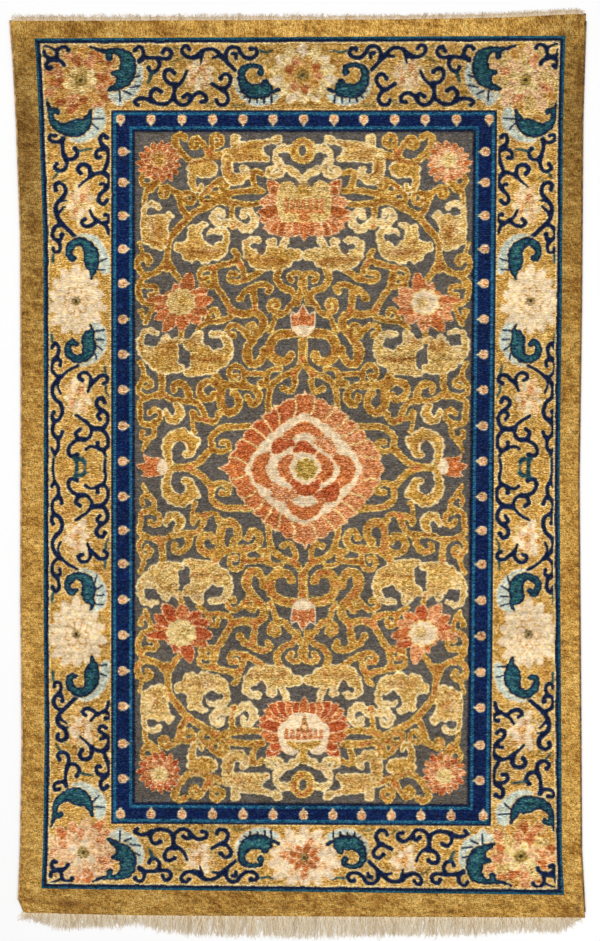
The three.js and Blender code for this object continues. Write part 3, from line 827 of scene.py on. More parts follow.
SPRIGS = (  # small teal and olive shoots: tint, width at the start and the end, route
    ("teal", 4.4, 2.6, [(152, 73), (150.5, 78), (148.5, 82.5)]),
    ("olive", 3, 2, [(182, 58.5), (176, 60.3), (172.5, 65)]), ("olive", 2, 2, [(174, 47.5), (178, 49)]),
    ("teal", 2.6, 1.8, [(261, 51.3), (267, 52.6), (273, 50.6)]),
    ("olive", 2.4, 2, [(207, 105), (214, 101.5)]),
    ("olive", 2.4, 2.4, [(233, 106), (238, 104.6), (244, 105)]),
    ("teal", 3, 1.6, [(58, 172), (56, 175.5), (53, 179)]),
    ("teal", 3.2, 2, [(78.5, 151), (84, 149.6), (91, 148.6)]),
    ("teal", 2.6, 3.4, [(53, 254.5), (52.6, 262)]),
    ("olive", 2, 2, [(62, 181.5), (67, 178)]), ("teal", 2.8, 3, [(52.5, 341), (51.5, 334)]),
    ("teal", 3, 2, [(105.3, 374), (104.8, 366)]),
    ("teal", 2.6, 2, [(106, 386), (106, 391.5), (108.5, 396)]),
    ("teal", 4.4, 3.4, [(74.5, 458), (77, 463), (76, 475)]),
    ("teal", 3.6, 3, [(77, 459), (82.5, 459), (86, 462.5)]),
    ("teal", 3, 3, [(80, 475), (84, 473), (85.5, 469.5)]),
)


def laid_back(column, row):
    """The chart place of a spot on the woven cloth."""
    place = np.array((column, row), float)
    for _ in range(3):
        woven = [float(axis[0, 0]) for axis in as_woven(place[:1], place[1:])]
        place += np.array((column, row)) - woven
    return tuple(place)


SIDE_LIFT = ((715, 750, 800, 835, 862, 900), (0, 11, 10, 7, 3, 5))
FOOT_LIFT = ((826, 895), (0, 5.5))
RIGHT_SHARE = 0.4


def laid_route(quarter, points):
    """A route in the main border, drawn together at the lower end, where the weaving is closer."""
    route = quarter.route([laid_back(*point[:2]) + tuple(point[2:]) for point in points])
    if not quarter.lower:
        return route
    closer = []
    for column, row, *width in route:
        if GUARD["left"] < column < GUARD["right"]:
            lift = np.interp(row, *FOOT_LIFT)
        else:
            lift = np.interp(row, *SIDE_LIFT) * (RIGHT_SHARE if quarter.right and row < 850 else 1)
        closer.append((column, row - float(lift), *width))
    return closer


LEAF_RIBS = cloud(ROWS.size, COLUMNS.size, 2, 7, 35)


def border_leaves(chart, quarter):
    """Tufts, teal leaves, shoots and navy scrolls of one quarter of the main border."""
    for route in TUFTS:
        patch = blade(laid_route(quarter, route))
        patch.depth += VINE_SCALLOP[patch.window] * 1.2
        chart.tint(patch, "cream", inset=-1.0, soft=1.5, strength=0.8)
        chart.tint(patch, "ice", inset=0.4, soft=1.2, strength=0.9)
    layer = Layer()
    for start, end, ball, route in SCROLLS:
        layer.add(stroke(laid_route(quarter, route), start * SCROLL_SHARE, end * SCROLL_SHARE,
                         ball * SCROLL_SHARE), "navy")
    chart.tint(layer, "straw", inset=-1.5, soft=1.0, strength=0.7)
    chart.tint(layer, "navy", soft=0.8)
    chart.tint(layer, "indigo", inset=1.7, soft=1.0, strength=0.6)
    for tint, start, end, route in SPRIGS:
        chart.tint(stroke(laid_route(quarter, route), start, end), tint, soft=1.0, strength=0.85)
    for blades in TEAL_LEAVES:
        leaf = joined([blade(laid_route(quarter, points)) for points in blades])
        leaf.depth += VINE_SCALLOP[leaf.window] * 1.2
        chart.tint(leaf, "straw", inset=-1.3, soft=1.0, strength=0.7)
        chart.tint(leaf, "navy", soft=0.8)
        chart.tint(leaf, "teal", inset=1.7, soft=1.4)
        chart.tint(leaf, "bright teal", inset=3.6, soft=4, strength=0.4)
        for tint, ribs in (("bright teal", LEAF_RIBS), ("navy", -LEAF_RIBS)):
            here = chart.colour[leaf.window]
            share = np.clip(leaf.depth - 1.6, 0, 1) * np.clip(ribs[leaf.window] - 0.1, 0, 1)
            chart.colour[leaf.window] = here + (rgb(tint) - here) * share[..., None]
    for width, start, end in WHISKERS:
        chart.tint(stroke(laid_route(quarter, (start, end)), width), "navy", soft=0.8)


def dotted_eye(chart, column, row, reach, tint):
    """The round eye of a border flower, ringed with dark knots."""
    chart.tint(rosette(column, row, (reach, reach)), tint, soft=2.5, strength=0.9)
    for index in range(10):
        angle = 2 * math.pi * index / 10
        spot = (column + reach * 0.8 * math.cos(angle), row + reach * 0.8 * math.sin(angle))
        chart.tint(stroke([spot, spot], 1.7), "eye", soft=0.8, strength=0.8)
    chart.tint(rosette(column, row, (2, 2)), "eye", soft=1.0)


def border_flower(chart, place, reach, rings, eye, eye_tint):
    """A many-petalled flower of the main border: rings of pointed petals round a dotted eye."""
    column, row = place
    across, down = reach
    for count, outer, width, skew, phase, rim, fill in rings:
        petals(chart, column, row, (count, outer * across * 0.2, outer * across, width, skew, phase,
                                    (1.0, down / across), rim, fill, PETAL_RIM), raised=False)
    dotted_eye(chart, column, row, eye, eye_tint)


def soft_blossom(chart, place, reach, tints):
    """A small pale blossom among the scrolls."""
    outer, inner, rim, heart_tint = tints
    column, row = place
    across, down = reach
    for count, share, width, phase, fill in ((9, 1.0, 4.6, 10, outer), (7, 0.66, 4.0, 35, inner)):
        petals(chart, column, row, (count, 2, share * across, width, 10, phase, (1.0, down / across),
                                    rim, fill, PETAL_RIM), raised=False)
    chart.tint(rosette(column, row, (across * 0.24, across * 0.24)), heart_tint, soft=2, strength=0.8)


# Guard band, outer lines, and the flowers placed in the main border.

GUARD_LINE = 1.1
GUARD_BANDS = (  # distance from the guard's outer edge where each tint starts
    (0.0, "navy"), (2.4, "guard teal"), (5.2, "indigo"),
)
GUARD_INNER_BANDS = (  # distances from the field's edge between which each tint lies
    (0.0, 2.8, "navy"), (2.8, 5.6, "guard teal"),
)
PEARL_COLUMNS = (120.5, 151, 182, 212.6, 243, 273, 303.6, 333.6, 363, 393.4, 423.6, 454.6, 487.1)
PEARL_ROWS = (119, 151.6, 182.4, 215.6, 249, 283.4, 319.2, 354.4, 389.8, 425.8, 461.2, 496.6, 530.4, 564,
              600, 635.6, 671.6, 707, 744.4, 779.6, 815.2)
SIDE_PEARLS = (122.7, 483.6)
PEARL = 4.3
PEARL_POINT = ((0, PEARL * 0.8), (3.4, PEARL * 0.55), (6.5, 0.9))  # reach and half width


def guard(chart):
    """The dark band of pearls between the main border and the field."""
    columns, rows = COLUMNS[None, :], ROWS[:, None]
    inward = np.minimum(np.minimum(columns - GUARD["left"], GUARD["right"] - columns),
                        np.minimum(rows - GUARD["top"], GUARD["bottom"] - rows))
    outward = np.maximum(np.maximum(FIELD["left"] - columns, columns - FIELD["right"]),
                         np.maximum(FIELD["top"] - rows, rows - FIELD["bottom"]))
    chart.colour[(inward > -GUARD_LINE) & (inward <= 0)] = rgb("pale leaf")
    for start, tint in GUARD_BANDS:
        chart.colour[(inward > start) & (outward > 0)] = rgb(tint)
    for start, end, tint in GUARD_INNER_BANDS:
        chart.colour[(outward > start) & (outward <= end)] = rgb(tint)
    for column in PEARL_COLUMNS:
        pearl(chart, column, PEARL_ROWS[0], (0, 1))
        pearl(chart, column, PEARL_ROWS[-1], (0, -1))
    for row in PEARL_ROWS[1:-1]:
        pearl(chart, SIDE_PEARLS[0], row, (1, 0))
        pearl(chart, SIDE_PEARLS[1], row, (-1, 0))


def pearl(chart, column, row, towards):
    """A coral pearl in a cream rim, with its point towards the field."""
    point = blade([(column + towards[0] * reach, row + towards[1] * reach, half)
                   for reach, half in PEARL_POINT])
    whole = joined([rosette(column, row, (PEARL + 0.3, PEARL + 0.3), power=2.6), point])
    chart.tint(whole, "cream deep", soft=0.9)
    bead = rosette(column - towards[0] * 0.6, row - towards[1] * 0.6, (PEARL - 0.8, PEARL - 0.8))
    chart.tint(bead, "pink coral", inset=0.4, soft=2.0, strength=0.75)


OUTER_LINES = (  # distances from the woven edge between which each tint lies
    (0.0, 2.4, "line teal"), (2.4, 5.2, "navy"), (5.2, 6.6, "straw"),
)


def outer_lines(chart):
    """The teal and navy lines round the woven pattern, and the pale one inside them."""
    columns, rows = COLUMNS[None, :], ROWS[:, None]
    inward = np.minimum(np.minimum(columns - WOVEN["left"], WOVEN["right"] - columns),
                        np.minimum(rows - WOVEN["top"], WOVEN["bottom"] - rows))
    for start, end, tint in OUTER_LINES:
        chart.colour[(inward >= start) & (inward < end)] = rgb(tint)


CORNER_TINTS = (  # right, lower, then rim and tints of the petals from outside to inside
    (False, False, "pale leaf", (("coral", "coral brown", "pink coral", "amber"),
                                 ("pink coral", "amber", "coral brown"), ("straw", "pale leaf"))),
    (True, False, "straw", (("pale leaf", "amber", "blush"), ("pink coral", "blush", "pale leaf"),
                            ("blush", "straw"))),
    (False, True, "cream", (("coral", "pink coral", "blush"), ("pink coral", "blush"), ("blush", "cream"))),
    (True, True, "straw", (("pink coral", "amber", "coral brown"), ("coral", "pale leaf", "pink coral"),
                           ("blush", "straw"))),
)
CORNER_BORDER_RINGS = (  # count, reach as a share, half width, skew, phase
    (15, 1.04, 6.8, 8, 5), (12, 0.76, 6.2, 6, 20), (9, 0.46, 4.6, 6, 0),
)
CREAM_FLOWER = (  # count, reach as a share, half width, skew, phase, rim, petal tints
    (14, 1.06, 6.2, 6, 8, "cream deep", "cream"), (11, 0.76, 5.4, 6, 22, "straw", "cream"),
    (9, 0.46, 4.2, 0, 4, "amber", "cream"),
)
TOP_FLOWER = (
    (14, 1.0, 6.6, 6, 8, "straw", ("cream", "straw")),
    (11, 0.8, 5.6, 6, 22, "cream", ("straw", "pale leaf")),
    (9, 0.6, 5.4, 0, 4, "pale leaf", ("pink coral", "amber", "coral brown")),
    (8, 0.36, 3.6, 0, 4, "pale leaf", "amber"),
)
FOOT_FLOWER = (
    (14, 1.06, 6.6, 6, 8, "blush", "cream"),
    (11, 0.76, 5.4, 6, 22, "cream", ("blush", "cream", "pink coral")),
    (9, 0.5, 4.4, 0, 4, "cream", ("coral", "coral brown")),
)
BORDER_FLOWERS = {  # column and row, reach across and down
    "corner": ((80.5, 80.5), (36, 33)), "side": ((75.5, 301), (27.5, 32)),
    "top": ((303, 75.5), (34, 29)), "foot": ((304.5, 858), (34, 28)),
}
GOLD_EYE, PALE_EYE = (6, "olive gold"), (4.6, "pale leaf")
SOFT_PASSES = 2
TOP_SOILING = 0.1
TOP_SOILED = (104, 126)
SMALL_BLOSSOMS = ((199, 75, 16, 16), (81, 205, 15, 22), (77, 397, 15, 20))  # place, then reach
BLOSSOM_TINTS = {  # by lower or not: outer and inner petals, rim, heart
    False: (("cream", "blush"), ("blush", "cream", "pink coral"), "straw", "pale leaf"),
    True: (("amber", "cream", "pale leaf"), ("cream", "blush"), "cream", "amber"),
}


def main_border(chart):
    """The wide gold border, with its flowers, its leaves and the lines outside it."""
    stains = cloud(ROWS.size, COLUMNS.size, 16, 16, 24)
    chart.blend("coral brown", np.clip(stains - 0.3, 0, 1) * 0.35)
    chart.blend("straw", np.clip(-stains - 0.35, 0, 1) * 0.6)
    for right, lower, rim, tints in CORNER_TINTS:
        quarter = Quarter(right, lower)
        rings = [(*ring, rim, tint) for ring, tint in zip(CORNER_BORDER_RINGS, tints)]
        place, reach = BORDER_FLOWERS["corner"]
        border_flower(chart, quarter.at(*laid_back(*place)), reach, rings, *GOLD_EYE)
        place, reach = BORDER_FLOWERS["side"]
        border_flower(chart, quarter.at(*place), reach, CREAM_FLOWER, *PALE_EYE)
        for column, row, across, down in SMALL_BLOSSOMS:
            soft_blossom(chart, quarter.at(column, row), (across, down), BLOSSOM_TINTS[lower])
    border_flower(chart, *BORDER_FLOWERS["top"], TOP_FLOWER, *GOLD_EYE)
    border_flower(chart, *BORDER_FLOWERS["foot"], FOOT_FLOWER, *PALE_EYE)
    for _ in range(SOFT_PASSES):
        chart.soften()
    for right, lower, _, _ in CORNER_TINTS:
        border_leaves(chart, Quarter(right, lower))
    chart.colour *= (1 - TOP_SOILING * (1 - smoothstep(ROWS, *TOP_SOILED)))[:, None, None]
    outer_lines(chart)


# Field: its vines and leaves.

VINE_GAIN = 1.3
HOLE_GAIN = 0.9
VINES = (  # width at the start and the end, ball at the end, route of columns and rows
    (5.8, 5.8, 0, [(173.6, 138), (177, 147), (185, 157), (195, 161.5), (208, 158), (222, 153)]),
    (5.2, 4.8, 2.8, [(174.5, 141), (176, 135.5), (180.5, 133.8), (184, 136.5)]),
    (5, 4.6, 2.8, [(208, 153), *turn(195, 143.5, 6.6, -50, -320)]),
    (5.6, 4.8, 3, [(209.5, 155), (211.5, 146), (211.5, 138), (216, 134.5), (221, 138), (221, 143.5),
                   (216.5, 145)]),
    (5, 4.8, 2.6, [(205, 191), (212, 184), (219, 179.5), (225, 180.5), (226, 185)]),
    (4.6, 4.4, 2.4, [(219, 181), (220.5, 188), (226, 191)]),
    (6.5, 5.5, 0, [(213, 199), (224, 195), (236, 192), (248, 190.5), (262, 190.5)]),
    (7, 5, 0, [(219, 199), (231, 202.5), (246, 204), (262, 202.5)]),
    (5, 4.8, 2.5, [(216, 193), (205, 191.5), (200.5, 195), (201.5, 201), (206.5, 201.5)]),
    (5.5, 5, 2.5, [(257, 190), (253, 182), (251.5, 174), (256, 170.8), (261.5, 173)]),
    (4.8, 4.8, 2.4, [(252, 177), (250, 172.5)]),
    (4.8, 4.8, 0, [*turn(147, 180, 6, 60, 360, 0.97)]),
    (6.5, 5, 0, [(165, 173), (156, 183), (150, 190)]),
    (4.6, 4.2, 0, [(147, 187), (144.5, 194), (143.5, 203)]),
    (6, 7, 0, [(222, 197.5), (205, 206.5), (194, 212), (185, 219.5), (176, 230), (168.5, 240),
               (167, 254), (166, 268)]),
    (5.5, 5.8, 0, [(187, 217), (180, 206), (178, 194)]),
    (5.6, 4.8, 2.6, [(180, 195), *turn(164.5, 192.5, 6.2, -35, -315)]),
    (5.2, 4.6, 2.6, [(178, 196), (185, 193), (192, 194), (192.5, 201), (187, 203), (184, 200)]),
    (6.6, 5, 0, [(167, 262), (174, 272), (181, 281)]),
    (5.6, 5.4, 0, [(166, 262), (156, 271.5), (145.5, 274), (138.5, 270), (136.8, 262), (141, 256.5)]),
    (4.8, 4.6, 2.5, [(139, 258), (146, 255.5), (150, 259.5), (147, 263.5)]),
    (4, 3, 0, [(143.5, 258), (141, 250), (138.5, 242)]),
    (5.4, 5, 0, [(147, 274), (139.5, 281), (137.6, 291), (141, 300), (150, 303), (163, 298)]),
    (5, 4.6, 2.6, [(139, 283), (146, 285.5), (154, 286), (155.5, 292.5), (149.5, 294.5)]),
    (5, 4.6, 3, [(232, 205), (231.5, 214), (233, 226)]),
    (5.6, 5, 0, [(201, 284), (210, 286), (214, 283), (213.5, 275), (213, 268)]),
    (5, 4.6, 2.5, [(213, 267.5), (203, 268), (198.6, 273), (201, 278.5), (206.5, 277)]),
    (5.2, 5.4, 0, [(211, 268), (222, 264.5), (232, 262), (237, 256), (233, 250.5)]),
    (6, 5.6, 0, [(236, 259), (241.5, 268), (244.5, 278), (252, 275.5), (262, 269)]),
    (5, 4.6, 2.8, [(244, 279), (235, 281.5), (228.6, 278), (229.8, 272.5), (234.5, 273)]),
    (6, 6, 0, [(213, 276), (216, 286), (222, 294), (227, 303), (231.5, 311)]),
    (5.4, 6, 3.2, [(254, 300), (251, 290), (245, 291), (239.5, 298)]),
    (6, 5.4, 3, [(250, 289), (256, 285.5), (264, 284.5), (270, 287.5), (267.5, 291.5)]),
    (5.8, 5.8, 0, [(253, 290), (253.5, 300), (255, 310)]),
    (6.6, 5.6, 0, [(280, 268), (276.5, 278), (283, 287.5), (292, 291.5), (297, 302)]),
    (5.2, 4.6, 2.6, [(305, 284), (302, 275.5), (294, 272.8), (288.4, 276), (291, 280.5)]),
    (5.8, 5.4, 0, [(303, 279), (300.5, 291), (296.5, 301)]),
    (5.6, 4.6, 0, [(297, 299), (290, 304), (284, 312), (276.5, 315), (273, 323), (269.5, 331)]),
    (5.2, 4.8, 2.8, [(281, 313.5), *turn(274.6, 304.6, 7, 80, 330)]),
    (4.6, 4.2, 0, [(151.5, 297), (151, 307), (147, 316), (144.5, 323)]),
    (4.4, 4.2, 2.6, [(147, 317), (141.5, 316), (140, 310.5)]),
    (5.6, 5, 0, [(180.5, 326), (180.5, 334), (178, 341)]),
    (4, 4.6, 0, [(139, 362), (142.5, 370), (143, 378), (138.5, 385), (138.5, 392), (144, 396.5)]),
    (4.6, 4.4, 2.4, [(142.5, 378), (148.5, 379.5), (150.5, 384.5), (146, 386.5)]),
    (6.4, 6, 0, [(161.5, 372), (161.5, 385), (158.5, 396)]),
    (5.2, 5, 0, [(158, 394), (147, 397.5), (139.5, 402), (139.8, 412), (141, 421.5), (150, 424.5)]),
    (5, 4.6, 2.4, [(150, 424.5), (158, 420), (159.5, 412.5), (153.5, 409.5), (149.5, 412.5)]),
    (5.6, 3.4, 0, [(154, 422), (153.5, 433), (147, 440), (142.5, 449)]),
    (4.4, 4.2, 2.4, [(147, 440), (141.5, 436.5), (142, 431.5)]),
    (5.6, 5.4, 0, [(162, 394), (173, 399.5), (185, 400.6), (196, 402), (202, 410), (204.6, 417)]),
    (7, 5, 2.8, [(188.5, 399), (187, 389), (180, 383), (172.5, 385), (173.5, 389.5)]),
    (5, 5, 3.2, [(204, 419), (197, 418), (192.5, 413)]),
    (4.4, 3.6, 2.6, [(192, 412), (191.8, 422), (194, 431)]),
    (5, 5, 3.4, [(206, 420), (214, 421), (218, 414.5)]),
    (6.5, 6.5, 0, [(213, 372), (219, 380), (228, 384.5), (244, 385)]),
    (6.4, 6.6, 3, [(240, 385), (252, 387), (258.5, 394), (257, 401), (251, 403.5), (247, 396.5)]),
    (8, 7, 3.6, [(222, 385), (219.5, 396), (221.5, 407), (229, 412.5), (236.5, 407.5), (237, 397.5),
                 (233.5, 393)]),
    (7, 6.4, 3, [(220, 388), (211, 381.5), (202, 383.5), (198.5, 391), (202.5, 397.5), (210, 398.5),
                 (213, 394)]),
    (5.2, 4.8, 2.8, [(243, 386), (243, 375), (240.5, 367.5), (233.5, 365.2), (228.8, 370), (230, 376.5),
                     (235, 376)]),
    (5, 5, 0, [(243.5, 373), (255, 373.5), (267, 374.6)]),
    (5, 3.6, 0, [(266, 382), (267, 373), (273, 368.8), (281, 369.3)]),
    (5.4, 5, 3, [(266, 378), (266, 384), (260, 383)]),
    (7, 8.6, 0, [(231, 311), (243, 314), (255, 312.5), (262.5, 318), (262, 327.5), (254, 337),
                 (247, 347), (246.5, 357)]),
    (8.6, 7, 4, [(246.5, 352), (249, 361.5), (257, 362.5), (262, 356), (263.5, 350)]),
    (5.6, 4.6, 0, [(230, 317), (218, 320.5), (207, 321), (197, 328)]),
    (5, 4.8, 2.8, [(207, 320), (209, 311), (215.5, 308.5), (217, 313)]),
    (5, 4.8, 3, [(250, 338), (243, 331), (235, 325), (227.5, 327), (227.5, 333), (232.5, 334.5)]),
    (5, 4.6, 2.5, [(247, 334), (247.5, 326.5), (253, 324.5), (254, 329)]),
    (9, 8, 4, [(303, 331.5), (290, 332.5), (278, 335), (270.5, 343), (270, 353), (276, 360.5),
               (286, 360.5), (290.5, 354.5)]),
    (8, 6, 0, [(303, 330), (303.4, 345), (303.4, 361)]),
    (5.8, 6, 0, [(303, 359), (295, 371), (283, 376), (272.5, 383.5), (268.5, 395), (267.5, 411)]),
    (5.4, 4.8, 2.8, [(293, 371), (294.5, 382), (290, 391), (283, 388.5)]),
    (6.2, 5.8, 0, [(186, 466.5), (197, 462), (206, 454), (211.5, 446), (211, 437), (218, 429.5),
                   (228, 426.5), (248, 426)]),
    (5.4, 4.8, 2.8, [(212, 449), (221, 451.5), (228, 448), (226.8, 441.5), (221.5, 441.8)]),
    (6, 6, 0, [(166, 461), (172, 466), (190, 467.6)]),
)

LEAVES = (  # tint, blades of (column, row, half width), holes of (column, row, radius)
    ("leaf", ([(228, 154, 7), (238, 153, 9.2), (250, 152.5, 9.3), (259, 151.5, 9.5)],
              [(238, 148, 6), (252, 146, 6.6), (264, 144.5, 6), (270.5, 141.5, 4.2), (277, 138.5, 4.8)],
              [(235, 146, 5), (235, 138.5, 5.4)], [(261, 154, 6), (265, 156.5, 5)],
              [(262, 143, 4.5), (270, 143, 2.8)]), ((268, 149.6, 4), (272, 148, 3.4))),
    ("leaf", ([(227, 159, 6.6), (227, 170, 6.4), (231, 177.5, 6.6), (238, 178.5, 6.2), (244.5, 174.5, 5),
               (243, 168, 3.8)],), ()),
    ("gold", ([(194.5, 168, 8.6), (203, 168.3, 9.6), (209, 168.5, 8.4)],
              [(192.5, 172, 5.8), (191, 181, 4.6), (193.5, 188.5, 3.9), (199, 189.5, 3.2),
               (201, 185.5, 2.8)]), ()),
    ("leaf", ([(147, 219, 5), (143, 212, 3.4), (145.5, 205.8, 3.2), (152, 203, 3.2), (158, 206, 3.6)],
              [(155, 224, 12), (154, 233, 14), (159, 241, 9), (161, 246, 4)],
              [(164, 219, 7), (169, 215, 4.8)], [(144, 222, 5), (146, 238, 6)]), ((150.8, 210.5, 3.6),)),
    ("leaf", ([(191, 228, 4.5), (194, 237, 8), (195, 246, 11)], [(178.5, 246.5, 5.4), (186, 249, 9)],
              [(196, 249, 11.5), (208, 251, 11), (219, 249, 8.5)], [(198, 228, 5), (203.5, 223.8, 3.8)],
              [(188, 256, 6), (191, 257, 6)], [(203, 258, 6), (205, 258, 6)],
              [(217, 255, 5.5), (218, 254, 5.5)],
              [(223, 247, 5), (225.5, 239, 4.4), (224.5, 231.8, 4.2), (217, 230.6, 3.6), (211, 231.4, 3.8),
               (209.3, 235.5, 3.6)]), ((210.5, 239, 4.2), (214, 238, 3.6))),
    ("leaf", ([(249, 254, 7), (258, 260, 9.5), (270, 260.5, 10.5), (281, 258.5, 10.6), (289, 255, 8)],
              [(288, 255, 7.5), (295.5, 254.5, 6), (299.5, 254.5, 4.2), (303.5, 254.5, 2.2)],
              [(247, 252, 4.6), (246, 243, 4.4),
               (252, 239, 3.8), (258, 240, 4.2)], [(270, 250, 6), (271.3, 242, 5.4)],
              [(279, 250, 5), (284, 243, 4), (286, 234, 3)], [(256, 264, 5.4), (257, 264, 5.4)],
              [(279, 264, 5), (280, 264, 5)]), ((260.8, 248, 4.4), (264, 244.5, 1.6))),
    ("leaf", ([(141.5, 352, 5), (139.8, 341, 3.9), (143.5, 332.5, 3.5), (150, 329.8, 3.2), (155, 333, 3.6)],
              [(150, 354, 10.5), (160, 352, 13), (169, 348, 9), (170, 361, 8)],
              [(164, 343, 6), (165, 338, 4.8)],
              [(170, 345, 6), (178, 338, 3.2)], [(153, 364, 6), (163, 366, 7.4), (172, 367.5, 6),
               (180, 368, 4.2)]), ((151.6, 340.5, 4.4), (154, 339.5, 3.4), (158.6, 339.5, 1.2))),
    ("leaf", ([(186, 343, 5), (196, 348, 9), (203, 355, 12)], [(195, 340, 6.5), (198.5, 335, 5.4)],
              [(222, 357, 9), (227.5, 348, 5.4), (225.6, 339, 4.6), (219.5, 333.6, 3.8), (211.5, 334, 4)],
              [(200, 360, 11), (212, 361, 11), (221, 356, 9)], [(188, 372.5, 5.2), (198, 369, 7),
               (212, 368, 6)]), ((213.5, 343.5, 4.8), (208.5, 340.5, 3))),
    ("gold", ([(168.5, 462, 4.2), (166, 450, 5.4), (168.5, 440, 6.6), (178, 434.5, 6.4), (188, 438, 6.6),
               (191.5, 446, 6), (187.5, 453.5, 4.4), (183.5, 453, 3.4)],
              [(181, 431.6, 4.6), (182, 431.6, 4.6)], [(195, 440, 5), (195.5, 441, 5)]), ()),
    ("gold", ([(164.5, 411, 3.4), (168, 417.6, 4.2), (174.5, 419, 5), (179.5, 413, 5.2),
               (176.5, 404.5, 4)],), ()),
    ("pale leaf", ([(232, 222, 4), (221, 222.6, 4.2), (213.6, 219.5, 4), (213.4, 212.5, 3.7),
                    (219, 210, 3.4), (221.6, 213.8, 3.4)],), ()),
    ("pale leaf", ([(235, 221, 3.8), (242, 227.5, 4.4), (250.5, 226.5, 4.4), (253.5, 218, 4),
                    (249.5, 211.5, 3.6), (243.4, 212, 3.4), (243, 216.5, 3.4)],), ()),
    ("pale leaf", ([(292, 149, 4), (281, 147.5, 4.4), (276.5, 154, 4.4), (277.5, 163, 4.6),
                    (288, 169.5, 4.2), (296, 173.5, 4), (301, 179, 3.8)],
                   [(282, 166, 4), (279, 172.5, 3.8), (272, 175, 3.8), (267.5, 171.5, 3.8),
                    (271, 167.5, 3.4)]),
     ((281, 154.5, 1.6),)),
)

ACCENTS = (  # tint, column, row, half width and height of a soft patch
    ("coral", 208, 151, 5, 5), ("coral", 211, 187, 4.5, 3.5), ("coral", 233, 226, 3.4, 3),
    ("coral", 245, 185.5, 4, 3), ("coral", 239, 264, 4, 4), ("coral", 228, 309, 6, 5),
    ("coral", 255, 308, 5, 5), ("coral", 212, 266, 5, 4), ("coral", 303, 359, 4, 4),
    ("coral", 294, 374, 4.5, 4), ("coral", 158, 399, 4.5, 3), ("coral", 204.6, 420, 6, 4),
    ("coral", 212.7, 455.7, 4, 4), ("coral", 189.7, 467, 7, 5), ("coral", 241, 322, 6, 5),
    ("rust", 172, 147, 6, 5), ("rust", 180, 211, 5, 8), ("rust", 242, 279, 5, 4),
    ("rust", 215, 161, 9, 3), ("rust", 178, 224, 6, 7), ("rust", 165, 268, 7, 6),
    ("rust", 245, 374, 10, 5), ("rust", 206, 388, 7, 5), ("rust", 200, 281, 6, 4),
)


LIGHTS = (  # column, row, half width and height of a pale place on a leaf
    (155, 206, 6, 4), (167, 217, 5, 4), (203, 225, 5, 4), (214, 232, 9, 4), (209, 250, 9, 5),
    (252, 241, 7, 5), (271, 243, 5, 5), (285, 243, 4, 7), (237, 142, 5, 6), (268, 140, 9, 3),
    (244, 171, 5, 5), (198, 188, 6, 3), (150, 331, 8, 4), (163, 339, 5, 5), (197, 338, 6, 5),
    (218, 335, 9, 4), (178, 339, 5, 4), (281, 160, 9, 12), (219, 216, 9, 9),
    (248, 219, 8, 10), (150, 228, 6, 10), (148, 350, 6, 8),
)
SHADES = (  # column, row, half width and height of a dark place on a leaf
    (243, 155, 12, 5), (228, 170, 4, 9), (203, 171, 10, 5), (158, 231, 7, 10), (200, 252, 16, 5),
    (270, 262, 14, 4), (168, 346, 12, 5), (190, 341, 8, 5), (207, 359, 16, 2.5), (190, 446, 5, 7),
    (255, 352, 6, 6), (229, 388, 7, 10), (275, 352, 6, 7), (286, 337, 10, 4),
)
VEINS = (  # width and route of the dark lines between the lobes of the leaves
    (2.6, [(245, 259), (258, 259.5), (272, 258), (286, 262)]), (2.2, [(257, 256), (262, 251)]),
    (2.6, [(188, 250), (202, 252.5), (217, 250.5)]), (2, [(190, 240), (197, 243)]),
    (2.2, [(228, 161), (229, 170), (235, 176)]), (2.6, [(188, 163), (206, 160.5), (220, 158.5)]),
    (2, [(150, 222), (158, 236)]), (2, [(146, 240), (158, 243)]),
    (2.4, [(190, 357), (206, 359.5), (220, 358)]), (2, [(232, 150), (250, 146), (268, 142)]),
    (2, [(178, 439), (188, 442), (189, 449)]), (1.8, [(241, 352), (247, 345), (256, 334)]),
    (1.8, [(224, 392), (224, 404), (230, 409)]), (1.8, [(274, 342), (274, 352), (280, 357)]),
)
FIELD_TINTS = (  # right, lower, leaf tint and its strength, strength of gold in the vines
    (False, False, "gold", 0.35, 0.0), (True, False, "straw", 0.4, 0.6),
    (False, True, "straw", 0.5, 0.75), (True, True, "pale leaf", 0.6, 0.8),
)


def soft_spot(quarter, column, row, wide, high):
    """A patch that fades out from a place in the quarter."""
    column, row = quarter.at(column, row)
    spot = Patch(column - 2 * wide, row - 2 * high, column + 2 * wide, row + 2 * high)
    far = np.hypot((spot.columns - column) / wide, (spot.rows - row) / high)
    spot.depth = (1.5 - 2.0 * far).astype(np.float32)
    return spot


AXIS_RING = {"column": 303, "row": 150.3, "reach": (12.6, 13.6), "hole": 4.2}


